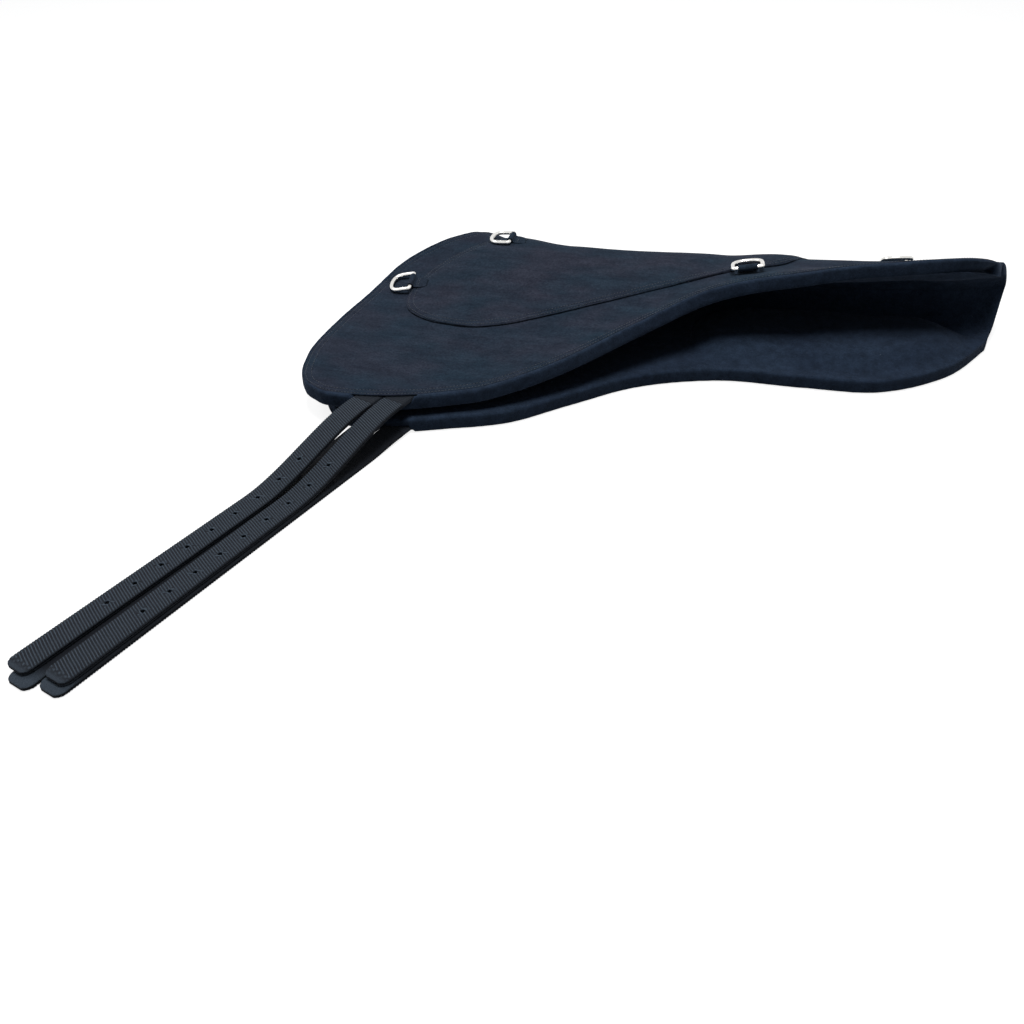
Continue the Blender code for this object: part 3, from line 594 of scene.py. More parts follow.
def web_finish(name, tone, twill, strength):
    """Woven tape: warp threads along it and fine weft across, with painted light from the
    crest attribute.
    """
    m = Nodes(name)
    cloth = m.cloth()
    parts = m.add("ShaderNodeSeparateXYZ", {"Vector": cloth})
    along, across = parts.outputs["X"], parts.outputs["Y"]
    warp = m.math("SINE", m.math("MULTIPLY", across, 2 * math.pi / (0.75 * MM)))
    slant = m.math("ADD", across, m.math("MULTIPLY", along, twill))
    weft = m.math("SINE", m.math("MULTIPLY", slant, 2 * math.pi / (0.9 * MM)))
    threads = m.math("MULTIPLY", warp, weft)
    fibre = m.noise(m.stretch(cloth, (500.0, 2400.0, 1.0)), 1.0, 2.0, 0.6)
    cloudy = m.noise(cloth, 45.0, 3.0, 0.5)
    tint = m.ramp(fibre, ((0.3, scaled(tone, 0.65)), (0.7, scaled(tone, 1.5))))
    tint = m.shade(0.4, tint, cloudy, (0.35, (0.75, 0.76, 0.8)), (0.65, (1.25, 1.24, 1.2)))
    # Painted light: where the crest attribute is high the tint turns to a lighter lit tone, for painted
    # highlights on the webbing and for the lit tips past the backing's painted shadow
    high = m.add("ShaderNodeAttribute", attribute_name="painted_light").outputs["Fac"]
    painted_lit_tone = m.ramp(fibre, ((0.3, (0.034, 0.048, 0.068)), (0.7, (0.085, 0.112, 0.145))))
    tint = m.mix(high, tint, painted_lit_tone)
    height = m.math("ADD", m.math("MULTIPLY", threads, 0.5), fibre)
    m.set(Base_Color=tint, Roughness=0.74, Normal=m.bump(height, 0.0002, strength),
          Sheen_Weight=0.05, Sheen_Roughness=0.4, Sheen_Tint=(0.7, 0.76, 0.9),
          Specular_IOR_Level=0.14)
    return m.owner


def foam_finish():
    m = Nodes("cut_foam")
    cells = m.add("ShaderNodeTexVoronoi", {"Vector": m.spot()}, feature="F1", Scale=900.0)
    depth = cells.outputs["Distance"]
    tint = m.ramp(depth, ((0.1, (0.22, 0.21, 0.18)), (0.6, (0.40, 0.39, 0.34))))
    m.set(Base_Color=tint, Roughness=0.9, Normal=m.bump(depth, 0.0004))
    return m.owner


def nickel_finish():
    m = Nodes("polished_nickel")
    spot = m.spot()
    wear = m.noise(spot, 240.0, 4.0, 0.6)
    fine = m.noise(m.stretch(spot, (1.0, 1.0, 6.0)), 1500.0, 2.0, 0.5)
    rough_map = m.add("ShaderNodeMapRange", {"Value": wear}, To_Min=0.10, To_Max=0.24)
    tint = m.ramp(wear, ((0.3, (0.66, 0.65, 0.62)), (0.6, (0.80, 0.79, 0.77))))
    m.set(Base_Color=tint, Metallic=1.0, Roughness=rough_map.outputs["Result"],
          Normal=m.bump(fine, 0.00002, 0.4))
    return m.owner


def thread_finish(name, tone):
    m = Nodes(name)
    parts = m.add("ShaderNodeSeparateXYZ", {"Vector": m.cloth()})
    twist = m.math("ADD", m.math("MULTIPLY", parts.outputs["X"], 3.0), parts.outputs["Y"])
    ply = m.math("SINE", m.math("MULTIPLY", twist, 4 * math.pi))
    tint = m.ramp(ply, ((0.2, scaled(tone, 0.6)), (0.8, scaled(tone, 1.4))))
    m.set(Base_Color=tint, Roughness=0.6, Normal=m.bump(ply, 0.00008),
          Sheen_Weight=0.15, Specular_IOR_Level=0.35)
    return m.owner


FINISHES = {
    "suede": suede_finish("navy_suede", (0.0130, 0.0240, 0.0392), (0.0195, 0.0245, 0.0392)),
    "seat": suede_finish("navy_seat_suede", (0.0150, 0.0250, 0.0400), (0.0220, 0.0255, 0.0400)),
    "felt": felt_finish("navy_felt", (0.0165, 0.0268, 0.0462)),
    "web": web_finish("ribbed_webbing", (0.0048, 0.0066, 0.0102), 0.0, 0.6),
    # The backing's tone is darkened as painted shadow of the strap above it; its tips get the lighter
    # lit tone back through the crest attribute
    "backing": web_finish("smooth_backing_tape", (0.0030, 0.0046, 0.0076), 1.0, 0.7),
    "foam": foam_finish(),
    "nickel": nickel_finish(),
    "thread": thread_finish("navy_thread", (0.032, 0.042, 0.060)),
}


# Halves

# Radius of the rounded edges, and the power of their curve
FELT_ROUND, FELT_POWER = 2.6 * MM, 3
SUEDE_ROUND, SUEDE_POWER = 0.9 * MM, 2
FELT_EDGE = edge_rows(FELT_ROUND, FELT_POWER, 8)
SUEDE_EDGE = edge_rows(SUEDE_ROUND, SUEDE_POWER, 4)
# Stitch rows inside a sheet's edge, and the grid lines beside them
STITCH_ROWS = (2.4 * MM, 8.0 * MM)
NEAR_EDGE = np.array((1.5, 2.0, 2.4, 2.8, 3.4, 4.4, 5.6, 6.6, 7.4, 8.0, 8.6, 9.4, 11, 13, 16)) * MM
FELT_NEAR = np.array((3.6, 4.6, 5.2, 5.8, 6.4, 7.4, 9, 11, 14)) * MM
FELT_LINES = np.concatenate([FELT_EDGE, FELT_NEAR])
SUEDE_LINES = np.concatenate([SUEDE_EDGE, NEAR_EDGE])
GRID_STEP = 3.2 * MM
# About the length of the rim and of a middling section, for spacing the grid
U_LENGTH = 0.80
V_LENGTH = 0.30


def half_grid(half, low, high, inset, edges):
    """Grid of shares along the spine, from low to high, and from spine to rim, less an
    inset.  The lines are closer together near the border."""
    start = low + edges / U_LENGTH
    stop = high - edges[::-1] / U_LENGTH
    u = np.concatenate([start, spread(start[-1], stop[0], GRID_STEP / U_LENGTH)[1:-1], stop])
    length = section_length(half, u)
    rim = 1 - inset / length
    last = rim - edges[-1] / length
    inner = np.linspace(0, 1, int(V_LENGTH / GRID_STEP))[None, :-1] * last[:, None]
    outer = rim[:, None] - edges[::-1][None, :] / length[:, None]
    v = np.concatenate([inner, outer], 1)
    return np.repeat(u[:, None], v.shape[1], 1), v


def billet_frame(half, name):
    """Root of a billet in plan, its run and the direction across it."""
    slant = math.radians(BILLETS[half, name][0])
    run = np.array([-math.sin(slant), -math.cos(slant), 0])
    across = np.cross((0, 0, 1), run)
    return np.array(JOINT_PLACES[half, name]) * (1, 1, 0), run, across


JOINT_PLACES = {}
for key in BILLETS:
    verb = "lift" if key[0] == LEFT else "swing"
    JOINT_PLACES[key] = JOINTS[f"billet_{verb}_{key[1]}_{SIDES[key[0]]}"]["pos_m"]


def pocket_mask(half, points, margin):
    """1 over the billets' sewn-in ends, easing to 0 outside them."""
    mask = np.zeros(points.shape[:-1])
    for name in ("front", "rear"):
        root, run, across = billet_frame(half, name)
        s = (points - root) @ run
        t = np.abs((points - root) @ across)
        inside = ease((BILLET_WIDTH / 2 + margin - t) / margin)
        inside = inside * ease((s + ANCHOR_LENGTH + ROOT_CLEARANCE + margin) / margin)
        mask = np.maximum(mask, inside)
    return mask


def stitch_dips(distance):
    """1 on the stitch rows, falling to 0 beside them."""
    return sum(np.exp(-((distance - row) / (0.7 * MM)) ** 2) for row in STITCH_ROWS)


def border_line(grid):
    """The front, rim and rear sides of a grid, one after the other."""
    return np.concatenate([grid[0], grid[1:, -1], grid[-1, -2::-1]])


# Shares of the spine, and of the way to the seat panel's seam, that the foam covers
FOAM_FRONT, FOAM_REAR = 0.198, 0.55
FOAM_TOP, FOAM_LOW = 0.32, 0.88
# The felt steps down under the suede this far inside its border, and sooner at the front
LEDGE_INSET = 5.2 * MM
FRONT_LEDGE_INSET = 2.6 * MM


def make_felt(half):
    """Felt pad: it steps down under the suede, the billets' ends and the foam."""
    side = SIDES[half]
    u, v = half_grid(half, 0.0, 1.0, 0.0, FELT_LINES)
    base = surface(half, u, v)
    distance = grid_distance(base, open_start=True)
    sooner = LEDGE_INSET - FRONT_LEDGE_INSET
    from_suede = grid_distance(base, open_start=True, front_extra=sooner) - LEDGE_INSET
    ledge = ease(from_suede / (0.8 * MM))
    depth = LAYER_GAP + SUEDE * ledge
    pocket = pocket_mask(half, base, 1.6 * MM)
    depth = depth + (SUEDE + BILLET_THICKNESS + 2 * POCKET_GAP - SUEDE * ledge) * pocket
    # Hollow for the foam sheet
    foam = ease((lookup(SEAM_SHARES, u) - 0.02 - v) / 0.05) * ease((v - 0.17) / 0.05)
    foam = foam * ease((u - 0.18) / 0.04) * ease((0.57 - u) / 0.04)
    depth = depth + (FOAM + LAYER_GAP) * foam
    outer = layer(half, u, v, depth)
    inner = layer(half, u, v, np.full(u.shape, PAD))
    face = normals(half, u, v)
    # Matted fibre all over the inside and along the cut edge
    fuzz = rough(base, 1.8 * MM, 3.1 + half) * 0.22 * MM + rough(base, 9 * MM, 8.2) * 0.2 * MM
    edge_fuzz = np.exp(-(distance / (4 * MM)) ** 2)
    inner = inner - face * (fuzz * 0.7)[..., None]
    outer = outer + face * (fuzz * edge_fuzz)[..., None]
    uv = flat_uv(base[..., 0], base[..., 1])
    made = closed_sheet(f"felt_pad_{side}", outer, inner, distance, FELT_ROUND, FELT_POWER,
                        "felt", f"{side}_half", "felt", uv)
    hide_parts(f"felt_underlay_{side}")


def make_cover(half):
    """Suede cover, with the line of its border and the directions there."""
    side = SIDES[half]
    u, v = half_grid(half, 0.0065, 0.99, SUEDE_INSET, SUEDE_LINES)
    base = surface(half, u, v)
    face = normals(half, u, v)
    distance = grid_distance(base, open_start=True)
    # Dips along the stitches, slow waves, and a swelling over the billets' ends
    relief = -0.50 * MM * stitch_dips(distance)
    relief = relief + 0.35 * MM * rough(base, 45 * MM, 5.5 + half)
    relief = relief + 0.45 * MM * pocket_mask(half, base, 3 * MM) * ease(distance / (6 * MM))
    # The lower half's suede may not swell: it lies on the floor
    keep = ease(v / 0.04) if half == RIGHT else 1.0
    relief = np.minimum(relief * keep, 0.9 * MM if half == LEFT else 0.0)
    outer = layer(half, u, v, -relief)
    inner = layer(half, u, v, SUEDE - relief * 0.5)
    uv = flat_uv(base[..., 0], base[..., 1] + base[..., 2])
    made = closed_sheet(f"suede_top_{side}", outer, inner, distance, SUEDE_ROUND, SUEDE_POWER,
                        "suede", f"{side}_half", "suede", uv)
    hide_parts(f"suede_cover_{side}")
    return made, border_line(outer), border_line(face)


# Shares along the spine where the seat panel starts and ends, and its rounded corners
PANEL_FRONT, PANEL_REAR = 0.052, 0.655
CORNER_START, CORNER_SHARE, REAR_CORNER_SHARE = 0.72, 0.075, 0.085
# About its width from spine to seam and its length, for spacing the grid
PANEL_WIDTH, PANEL_LENGTH = 0.17, 0.40


def make_panel(half):
    """Padded seat panel, with the line of its border and the directions there."""
    side = SIDES[half]
    edges = SUEDE_LINES / PANEL_WIDTH
    t = np.concatenate([spread(0, 1 - edges[-1], GRID_STEP / PANEL_WIDTH), 1 - edges[-2::-1]])
    ends = SUEDE_LINES / PANEL_LENGTH
    s = np.concatenate([ends, spread(ends[-1], 1 - ends[-1], GRID_STEP / PANEL_LENGTH)[1:-1],
                        1 - ends[::-1]])
    s, t = np.meshgrid(s, t, indexing="ij")
    turn = np.clip((t - CORNER_START) / (1 - CORNER_START), 0, 1)
    corner = 1 - np.sqrt(np.clip(1 - turn ** 2, 0, 1))
    start = PANEL_FRONT + CORNER_SHARE * corner
    stop = PANEL_REAR - REAR_CORNER_SHARE * corner
    u = start + (stop - start) * s
    v = t * lookup(SEAM_SHARES, u)
    base = surface(half, u, v)
    face = normals(half, u, v)
    distance = grid_distance(base, open_start=True)
    # Padding, a ridge between the stitch rows, their dips and slow waves
    crown = 1.1 * MM * ease(distance / (14 * MM))
    crown = crown + 0.60 * MM * np.exp(-((distance - 5.0 * MM) / (2 * MM)) ** 2)
    crown = crown - 0.60 * MM * stitch_dips(distance)
    crown = crown + 0.25 * MM * rough(base, 40 * MM, 1.5 + half) * ease(distance / (12 * MM))
    crown = crown if half == LEFT else np.minimum(crown, 0.0) * ease(v / 0.05)
    # Both ends run out thin under the rings, where no seam shows
    from_end = np.minimum(s, 1 - s) * PANEL_LENGTH
    thin = (1 - ease(from_end / (16 * MM))) * ease((0.74 - t) / 0.08)
    body = 1 - 0.80 * thin if half == LEFT else 1.0
    outer = layer(half, u, v, -(PANEL_GAP + (SUEDE + crown) * body))
    inner = layer(half, u, v, -(PANEL_GAP + np.maximum(crown, 0) * 0.6) * body)
    uv = flat_uv(base[..., 0], base[..., 1] + base[..., 2])
    made = closed_sheet(f"padded_seat_{side}", outer, inner, distance, SUEDE_ROUND, SUEDE_POWER,
                        "seat", f"{side}_half", "seat_suede", uv)
    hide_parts(f"seat_panel_{side}")
    return made, border_line(outer), border_line(face)


def make_foam(half):
    side = SIDES[half]
    u = spread(FOAM_FRONT, FOAM_REAR, GRID_STEP * 2 / U_LENGTH)
    v = np.linspace(FOAM_TOP, FOAM_LOW, 40)[None, :] * lookup(SEAM_SHARES, u)[:, None]
    u = np.repeat(u[:, None], v.shape[1], 1)
    outer = layer(half, u, v, np.full(u.shape, SUEDE + LAYER_GAP))
    inner = layer(half, u, v, np.full(u.shape, SUEDE + LAYER_GAP + FOAM))
    base = surface(half, u, v)
    distance = grid_distance(base)
    uv = base[..., :2].reshape(-1, 2)
    made = closed_sheet(f"foam_sheet_{side}", outer, inner, distance, 4 * MM, 2,
                        "foam", f"{side}_half", "foam", uv)
    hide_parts(f"seat_foam_{side}")


# Stitches
STITCH_PITCH = 3.3 * MM
STITCH_LENGTH = 2.5 * MM
STITCH_RADIUS = 0.30 * MM


def resample(points, others, pitch):
    """Points along a line a pitch apart, with the other arrays at the same places."""
    lengths = running_lengths(points)
    wanted = np.arange(pitch, lengths[-1] - pitch / 2, pitch)
    return [at_lengths(wanted, lengths, values) for values in (points, *others)]


def stitch_mesh(name, starts, ends, ups, body):
    """Short rounded threads from start to end, arched upwards."""
    around, along = 6, 6
    points, faces, uv = [], [], []
    for a, b, up in zip(starts, ends, ups):
        run = b - a
        side = np.cross(run, up)
        side = side / np.linalg.norm(side)
        base = len(points)
        rings = [[base + i * around + k for k in range(around)] for i in range(along + 1)]
        for i in range(along + 1):
            share = i / along
            arch = math.sin(math.pi * share)
            centre = a + run * share + up * (STITCH_RADIUS * (1.5 * arch - 0.7))
            radius = STITCH_RADIUS * (0.35 + 0.65 * math.sqrt(arch))
            for k in range(around):
                turn = 2 * math.pi * k / around
                points.append(centre + (side * math.cos(turn) + up * math.sin(turn)) * radius)
                uv.append((share, k / around))
        for here, following in zip(rings, rings[1:]):
            faces += band(here, following)
        faces += [rings[0][::-1], rings[-1]]
    add_mesh(name, points, faces, "thread", body, uv)


def stitch_rows(name, made, border, facing, half, slot):
    """Rows of stitches inside a sheet's border, laid on its surface."""
    tree = tree_of(made)
    border, facing = resample(border, [facing], 1.5 * MM)
    facing = unit(facing)
    starts, ends, ups = [], [], []
    for offset in STITCH_ROWS:
        tangent = unit(np.gradient(smooth_line(border.copy(), 6), axis=0))
        inward = unit(np.cross(tangent, facing)) * -half
        line = smooth_line(border + inward * offset, 8)
        centres, up, run = resample(line, [facing, tangent], STITCH_PITCH)
        for centre, u, r in zip(centres, unit(up), unit(run)):
            hits = []
            for share in (-0.5, 0.5):
                spot = Vector(centre + r * STITCH_LENGTH * share)
                hits.append(tree.ray_cast(spot + Vector(u) * 6 * MM, Vector(-u), 12 * MM)[0])
            if any(hit is None for hit in hits):
                continue
            starts.append(np.array(hits[0]))
            ends.append(np.array(hits[1]))
            ups.append(u)
    stitch_mesh(name, starts, ends, ups, f"{SIDES[half]}_half")


# Rings and tabs

def tab_frame(half, name):
    """Bar centre and axes (bar, away from the tail, up) of a tab."""
    joint = JOINTS[f"ring_turn_{name}_{SIDES[half]}"]
    up = normals(half, *RINGS[name][half])
    tail = np.array((*RINGS[name]["tab"], 0.0))
    tail = unit(tail - up * (tail @ up))
    bar = np.cross(up, tail)
    return np.array(joint["pos_m"]), np.stack([unit(bar), -tail, up], 1)


def ring_frame(half, name):
    """Bar centre and axes (bar, bow, across the wire) of a ring, from its solid."""
    side = SIDES[half]
    joint = JOINTS[f"ring_turn_{name}_{side}"]
    centre = np.array(joint["pos_m"])
    bar = unit(np.array(joint["axis"], float))
    solid = frame["nodes"][f"d_ring_{name}_{side}"]
    middle = np.mean([v.co for v in solid.data.vertices], axis=0)
    bow = middle - centre
    bow = unit(bow - bar * (bow @ bar))
    return centre, np.stack([bar, bow, np.cross(bar, bow)], 1)


def ring_line(count=120):
    """Centre line of a D-ring: straight bar, small corners and a round bow."""
    half_width = RING_WIDTH / 2 + RING_WIRE / 2
    depth = RING_DEPTH + RING_WIRE
    points = [(-half_width, 0.0), (half_width, 0.0)]
    for k in range(25):
        turn = math.pi * k / 24
        shoulder = math.sqrt(max(0.0, math.sin(turn)))
        points.append((half_width * math.cos(turn), depth * (0.35 + 0.65 * shoulder)))
    points = np.array(points + points[:1])
    lengths = running_lengths(points)
    wanted = np.linspace(0, lengths[-1], count, endpoint=False)
    line = at_lengths(wanted, lengths, points)
    for _ in range(5):
        line = (np.roll(line, 1, 0) + 2 * line + np.roll(line, -1, 0)) / 4
    return np.concatenate([line, np.zeros((count, 1))], 1)


def make_ring(half, name):
    side = SIDES[half]
    line = ring_line()
    tangent = unit(np.roll(line, -1, 0) - np.roll(line, 1, 0))
    across = np.cross(tangent, (0, 0, 1))
    around = 20
    turns = 2 * np.pi * np.arange(around) / around
    turns = turns[None, :, None]
    points = (line[:, None] + across[:, None] * np.cos(turns) * RING_WIRE / 2
              + np.array((0, 0, 1)) * np.sin(turns) * RING_WIRE / 2)
    centre, axes = ring_frame(half, name)
    points = centre + points.reshape(-1, 3) @ axes.T
    count = len(line)
    index = np.arange(count * around).reshape(count, around)
    following = np.roll(index, -1, 0)
    faces = np.stack([index, np.roll(index, -1, 1), np.roll(following, -1, 1), following], -1)
    node = f"d_ring_{name}_{side}"
    made = add_mesh(f"nickel_ring_{name}_{side}", points, faces.reshape(-1, 4),
                    "nickel", node)
    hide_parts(node)


def tab_profile(steps=28):
    """Side view of the suede tab: both plies and the loop, as outer and inner lines."""
    inner = RING_WIRE / 2 + TAB_CLEARANCE
    outer = inner + TAB_PLY
    low = -outer
    line = []
    for y in np.linspace(-TAB_LENGTH, -outer * 1.25, 10):
        line.append((y, low + TAB_PLY * 1.5))
    # Round the front of the bar, from behind its top to below it
    for k in range(steps + 1):
        turn = math.radians(205 - (205 + 90) * k / steps)
        middle = (inner + outer) / 2
        line.append((middle * math.cos(turn), middle * math.sin(turn)))
    for y in np.linspace(-outer * 0.3, -TAB_LENGTH, 12):
        line.append((y, low + TAB_PLY * 0.5))
    return np.array(line)


# Radius of a tab's edges, and how far behind the bar its plies start to run together
TAB_ROUND = 0.5 * MM
TAB_JOIN = 5 * MM


def make_tab(half, name):
    side = SIDES[half]
    line = smooth_line(tab_profile(), 2)
    tangent = unit(np.gradient(line, axis=0))
    face = np.stack([-tangent[:, 1], tangent[:, 0]], 1)
    width = TAB_WIDTH / 2
    edge = edge_rows(TAB_ROUND, SUEDE_POWER, 3)
    across = np.concatenate([-width + edge, np.linspace(-width + 1 * MM, width - 1 * MM, 15),
                             (width - edge)[::-1]])
    grid = np.zeros((len(line), len(across), 3))
    grid[..., 0] = across
    grid[..., 1:] = line[:, None, :]
    direction = np.zeros_like(grid)
    direction[..., 1:] = face[:, None, :]
    distance = grid_distance(grid)
    # The tail narrows, and its plies run together
    reach = np.clip((-line[:, 0] - TAB_JOIN) / (TAB_LENGTH - TAB_JOIN), 0, 1)
    grid[..., 0] *= (1 - 0.45 * reach ** 3)[:, None]
    upper = np.arange(len(line)) < len(line) // 2
    grid[..., 2] -= (0.62 * TAB_PLY * ease(reach) * upper)[:, None]
    thick = direction * (TAB_PLY / 2 * (0.96 - 0.62 * ease(reach)))[:, None, None]
    outer, inner = grid + thick, grid - thick
    centre, axes = tab_frame(half, name)
    turned = [centre + points @ axes.T for points in (outer, inner)]
    lengths = running_lengths(line)
    uv = np.stack(np.broadcast_arrays(across[None, :], lengths[:, None]), -1).reshape(-1, 2)
    node = f"ring_tab_{name}_{side}"
    made = closed_sheet(f"folded_tab_{name}_{side}", *turned, distance, TAB_ROUND, SUEDE_POWER,
                        "seat", f"{side}_half", "tab_suede", uv)
    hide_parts(node)
    starts, ends, ups = [], [], []
    low = -(RING_WIRE / 2 + TAB_CLEARANCE + TAB_PLY)
    top = low + 2 * TAB_PLY
    for y in (-8.5 * MM, -6.5 * MM):
        for x in np.arange(-width + 3 * MM, width - 2 * MM, STITCH_PITCH):
            here = top - 0.9 * TAB_PLY * float(ease((-y - TAB_JOIN) / (TAB_LENGTH - TAB_JOIN)))
            starts.append(centre + axes @ np.array((x - STITCH_LENGTH / 2, y, here)))
            ends.append(centre + axes @ np.array((x + STITCH_LENGTH / 2, y, here)))
            ups.append(axes[:, 2])
    stitch_mesh(f"tab_stitches_{name}_{side}", starts, ends, ups, f"{side}_half")


# Billets

RIB_PITCH = 2.55 * MM
# The ribs lean towards the tip by this much across the strap
RIB_SLANT = 0.38
RIB_HEIGHT = 0.62 * MM
SCALLOP = 0.22 * MM
EDGE_DROP = 0.30 * MM
WEB_ROUND = 1.0 * MM
HALF_WIDTH = BILLET_WIDTH / 2
# Half the side of the square of faces round a hole
HOLE_BLOCK = 4.6 * MM
# Grid lines along a strap: inwards from each edge, and across its middle
EDGE_LINES = np.array((0, 0.12, 0.45, 1.0, 1.9)) * MM
INNER_LINES = np.array((-9, -7.6, -6, -4.6, -3, -1.5, 0, 1.5, 3, 4.6, 6, 7.6, 9)) * MM
# Numbers of the two grid lines that bound the squares round the holes
BLOCK_LINES = 8, 14


def strap_points(half, name, s, t, z):
    """Points along a billet, across it and at heights."""
    root, run, across = billet_frame(half, name)
    return root + run * s[..., None] + across * t[..., None] + np.array((0, 0, 1)) * z[..., None]


def billet_floor(half, s):
    """Height of a billet's lower face at a distance from its root."""
    if half == LEFT:
        start = RIM_LEFT_SHARES[0][2] * MOUTH_HEIGHT - SUEDE - LAYER_GAP - BILLET_THICKNESS
        end, reach = BILLET_THICKNESS + POCKET_GAP, LANDING_LENGTH
    else:
        start, end, reach = SUEDE + LAYER_GAP, 0.0, LOWER_LANDING_LENGTH
    return start + (end - start) * ease((s - ROOT_FLAT) / (reach - ROOT_FLAT))


def ply_grid(length, holes):
    """Lines along and across a ply, and the lines that bound the square round each hole."""
    s = spread(0, length - TIP_ROUND, RIB_PITCH / 4)
    s = np.concatenate([s, length - TIP_ROUND * (1 - np.sin(np.linspace(0, math.pi / 2, 9)[1:]))])
    t = np.concatenate([-HALF_WIDTH + EDGE_LINES, INNER_LINES, (HALF_WIDTH - EDGE_LINES)[::-1]])
    squares = []
    for hole in holes:
        near, far = hole - HOLE_BLOCK, hole + HOLE_BLOCK
        a, b = np.searchsorted(s, near), np.searchsorted(s, far)
        s[a:b + 1] = np.linspace(near, far, b - a + 1)
        squares.append((a, b))
    return s, t, squares


def rib_wave(s, t):
    return np.cos(2 * np.pi * (s - RIB_SLANT * t) / RIB_PITCH)


def ply_relief(s, t, length, holes, ribbed):
    """Height of a ply's good face over the flat ply, and how much painted light it takes:
    painted highlights on a ribbed ply's crests, tip and hole rings, and on the backing the lit
    tip past its painted shadow.
    """
    edge = HALF_WIDTH - np.abs(t)
    if ribbed:
        fade = ease((length - 4 * MM - s) / (3 * MM))
        wave = rib_wave(s, t) * 0.5
        height = RIB_HEIGHT * wave * fade * ease(edge / WEB_ROUND + 0.2)
        # Painted highlight on the rib crests, fading out towards the edges, and at the tip
        painted_light = np.clip(wave * 2, 0, 1) ** 1.8 * fade * ease(edge / (1.5 * MM))
        painted_light = painted_light + 0.4 * ease((s - length + 6 * MM) / (4 * MM))
    else:
        height = 0.03 * MM * np.sin(2 * np.pi * s / (5 * MM))
        # Painted shadow of the strap above: the backing stays dark along its length and eases to the
        # lit tone only over its last 26 mm
        painted_light = 0.55 * ease((s - length + 26 * MM) / (20 * MM))
    height = height - EDGE_DROP * np.clip(np.abs(t) / HALF_WIDTH, 0, 1) ** 4
    # A raised ring of melted threads round each hole, with a painted highlight that changes round it
    for hole in holes:
        radius = np.hypot(s - hole, t)
        ring = np.exp(-((radius - HOLE_RADIUS - 0.5 * MM) / (0.55 * MM)) ** 2)
        height = height + 0.28 * MM * ring
        painted_light = painted_light + 0.9 * ring * (0.5 + 0.5 * np.sin(2 * np.arctan2(t, s - hole) + 0.8))
    height = height - 0.35 * MM * ease((s - (length - 7 * MM)) / (5 * MM))
    return height, np.clip(painted_light, 0, 1)


def ply_piece(name, half, which, low, high, ribbed, up, finish, slot, node):
    """One ply of a billet.  up is 1 when its good face is the top one."""
    extra = BILLETS[half, which][1]
    length = BILLET_LENGTH + extra
    holes = [FIRST_HOLE + extra + k * HOLE_PITCH for k in range(HOLE_COUNT)]
    s, t, squares = ply_grid(length, holes)
    first, last = BLOCK_LINES
    middle, reach = (low + high) / 2, (high - low) / 2
    points, faces, painted_lights, uv, layers = [], [], [], [], []

    def add_points(s, t, level, share, sign):
        """Add points of one face, narrower at the tip, and return their numbers.  Only the
        good face has relief and painted light.  The ribs' ends stand out at a ribbed ply's edges."""
        height, painted_light = ply_relief(s, t, length, holes, ribbed)
        good = sign == up
        tip = np.clip((s - (length - TIP_ROUND)) / TIP_ROUND, 0, 1)
        narrow = 1 - 0.55 * (1 - np.sqrt(np.clip(1 - tip * tip, 0, 1)))
        scallop = SCALLOP * rib_wave(s, t) * np.clip(np.abs(t) / HALF_WIDTH, 0, 1) ** 6
        wide = t * narrow + np.sign(t) * (scallop if ribbed else 0)
        z = billet_floor(half, s) + level + up * height * share * good
        index = len(points) + np.arange(s.size).reshape(s.shape)
        points.extend(strap_points(half, which, s, wide, z).reshape(-1, 3))
        painted_lights.extend((painted_light * good).ravel())
        uv.extend(flat_uv(s, t))
        return index

    ss, tt = np.meshgrid(s, t, indexing="ij")
    edge = np.minimum(np.minimum(HALF_WIDTH - np.abs(tt), length - ss), ss + 0.4 * MM)
    share = round_edge(edge, WEB_ROUND, 2)
    for sign in (1, -1):
        index = add_points(ss, tt, middle + sign * reach * share, share, sign)
        keep = np.ones((len(s) - 1, len(t) - 1), bool)
        for a, b in squares:
            keep[a:b, first:last] = False
        quads = grid_quads(index)[keep]
        faces += list(quads if sign == 1 else quads[:, ::-1])
        rims = []
        for (a, b), hole in zip(squares, holes):
            loop = ([(i, first) for i in range(a, b)] + [(b, j) for j in range(first, last)]
                    + [(i, last) for i in range(b, a, -1)] + [(a, j) for j in range(last, first, -1)])
            outer = [index[p] for p in loop]
            square = np.array([(s[i], t[j]) for i, j in loop])
            turn = np.arctan2(square[:, 1], square[:, 0] - hole)
            circle = np.stack([hole + HOLE_RADIUS * np.cos(turn), HOLE_RADIUS * np.sin(turn)], -1)
            for inward in (0.45, 0.75, 0.92, 1.0):
                spot = square * (1 - inward) + circle * inward
                lip = 0.45 * MM * (inward == 1.0)
                inner = list(add_points(*spot.T, middle + sign * (reach - lip), 1.0, sign))
                faces += [quad if sign == 1 else quad[::-1] for quad in band(outer, inner)]
                outer = inner
            rims.append(outer)
        layers.append((index, rims))
    (top, top_rims), (bottom, bottom_rims) = layers
    for upper, lower in zip(top_rims, bottom_rims):
        faces += band(upper, lower)
    border = border_steps(len(s), len(t))
    for p, q in zip(border, border[1:] + border[:1]):
        faces.append((top[q], top[p], bottom[p], bottom[q]))
    made = add_mesh(name, points, faces, finish, f"billet_{which}_{SIDES[half]}", uv,
                    painted_lights, weld)
    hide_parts(node)


def make_billets(half):
    side = SIDES[half]
    near = WEB if half == RIGHT else BACKING
    for which in ("front", "rear"):
        low, high = (0.0, near), (near + PLY_GAP, BILLET_THICKNESS)
        web, backing = (high, low) if half == LEFT else (low, high)
        ply_piece(f"ribbed_billet_{which}_{side}", half, which, *web, True, half,
                  "web", "webbing", f"billet_web_{which}_{side}")
        ply_piece(f"billet_lining_{which}_{side}", half, which, *backing, False, -half,
                  "backing", "backing_web", f"billet_backing_{which}_{side}")
        make_anchor(half, which)


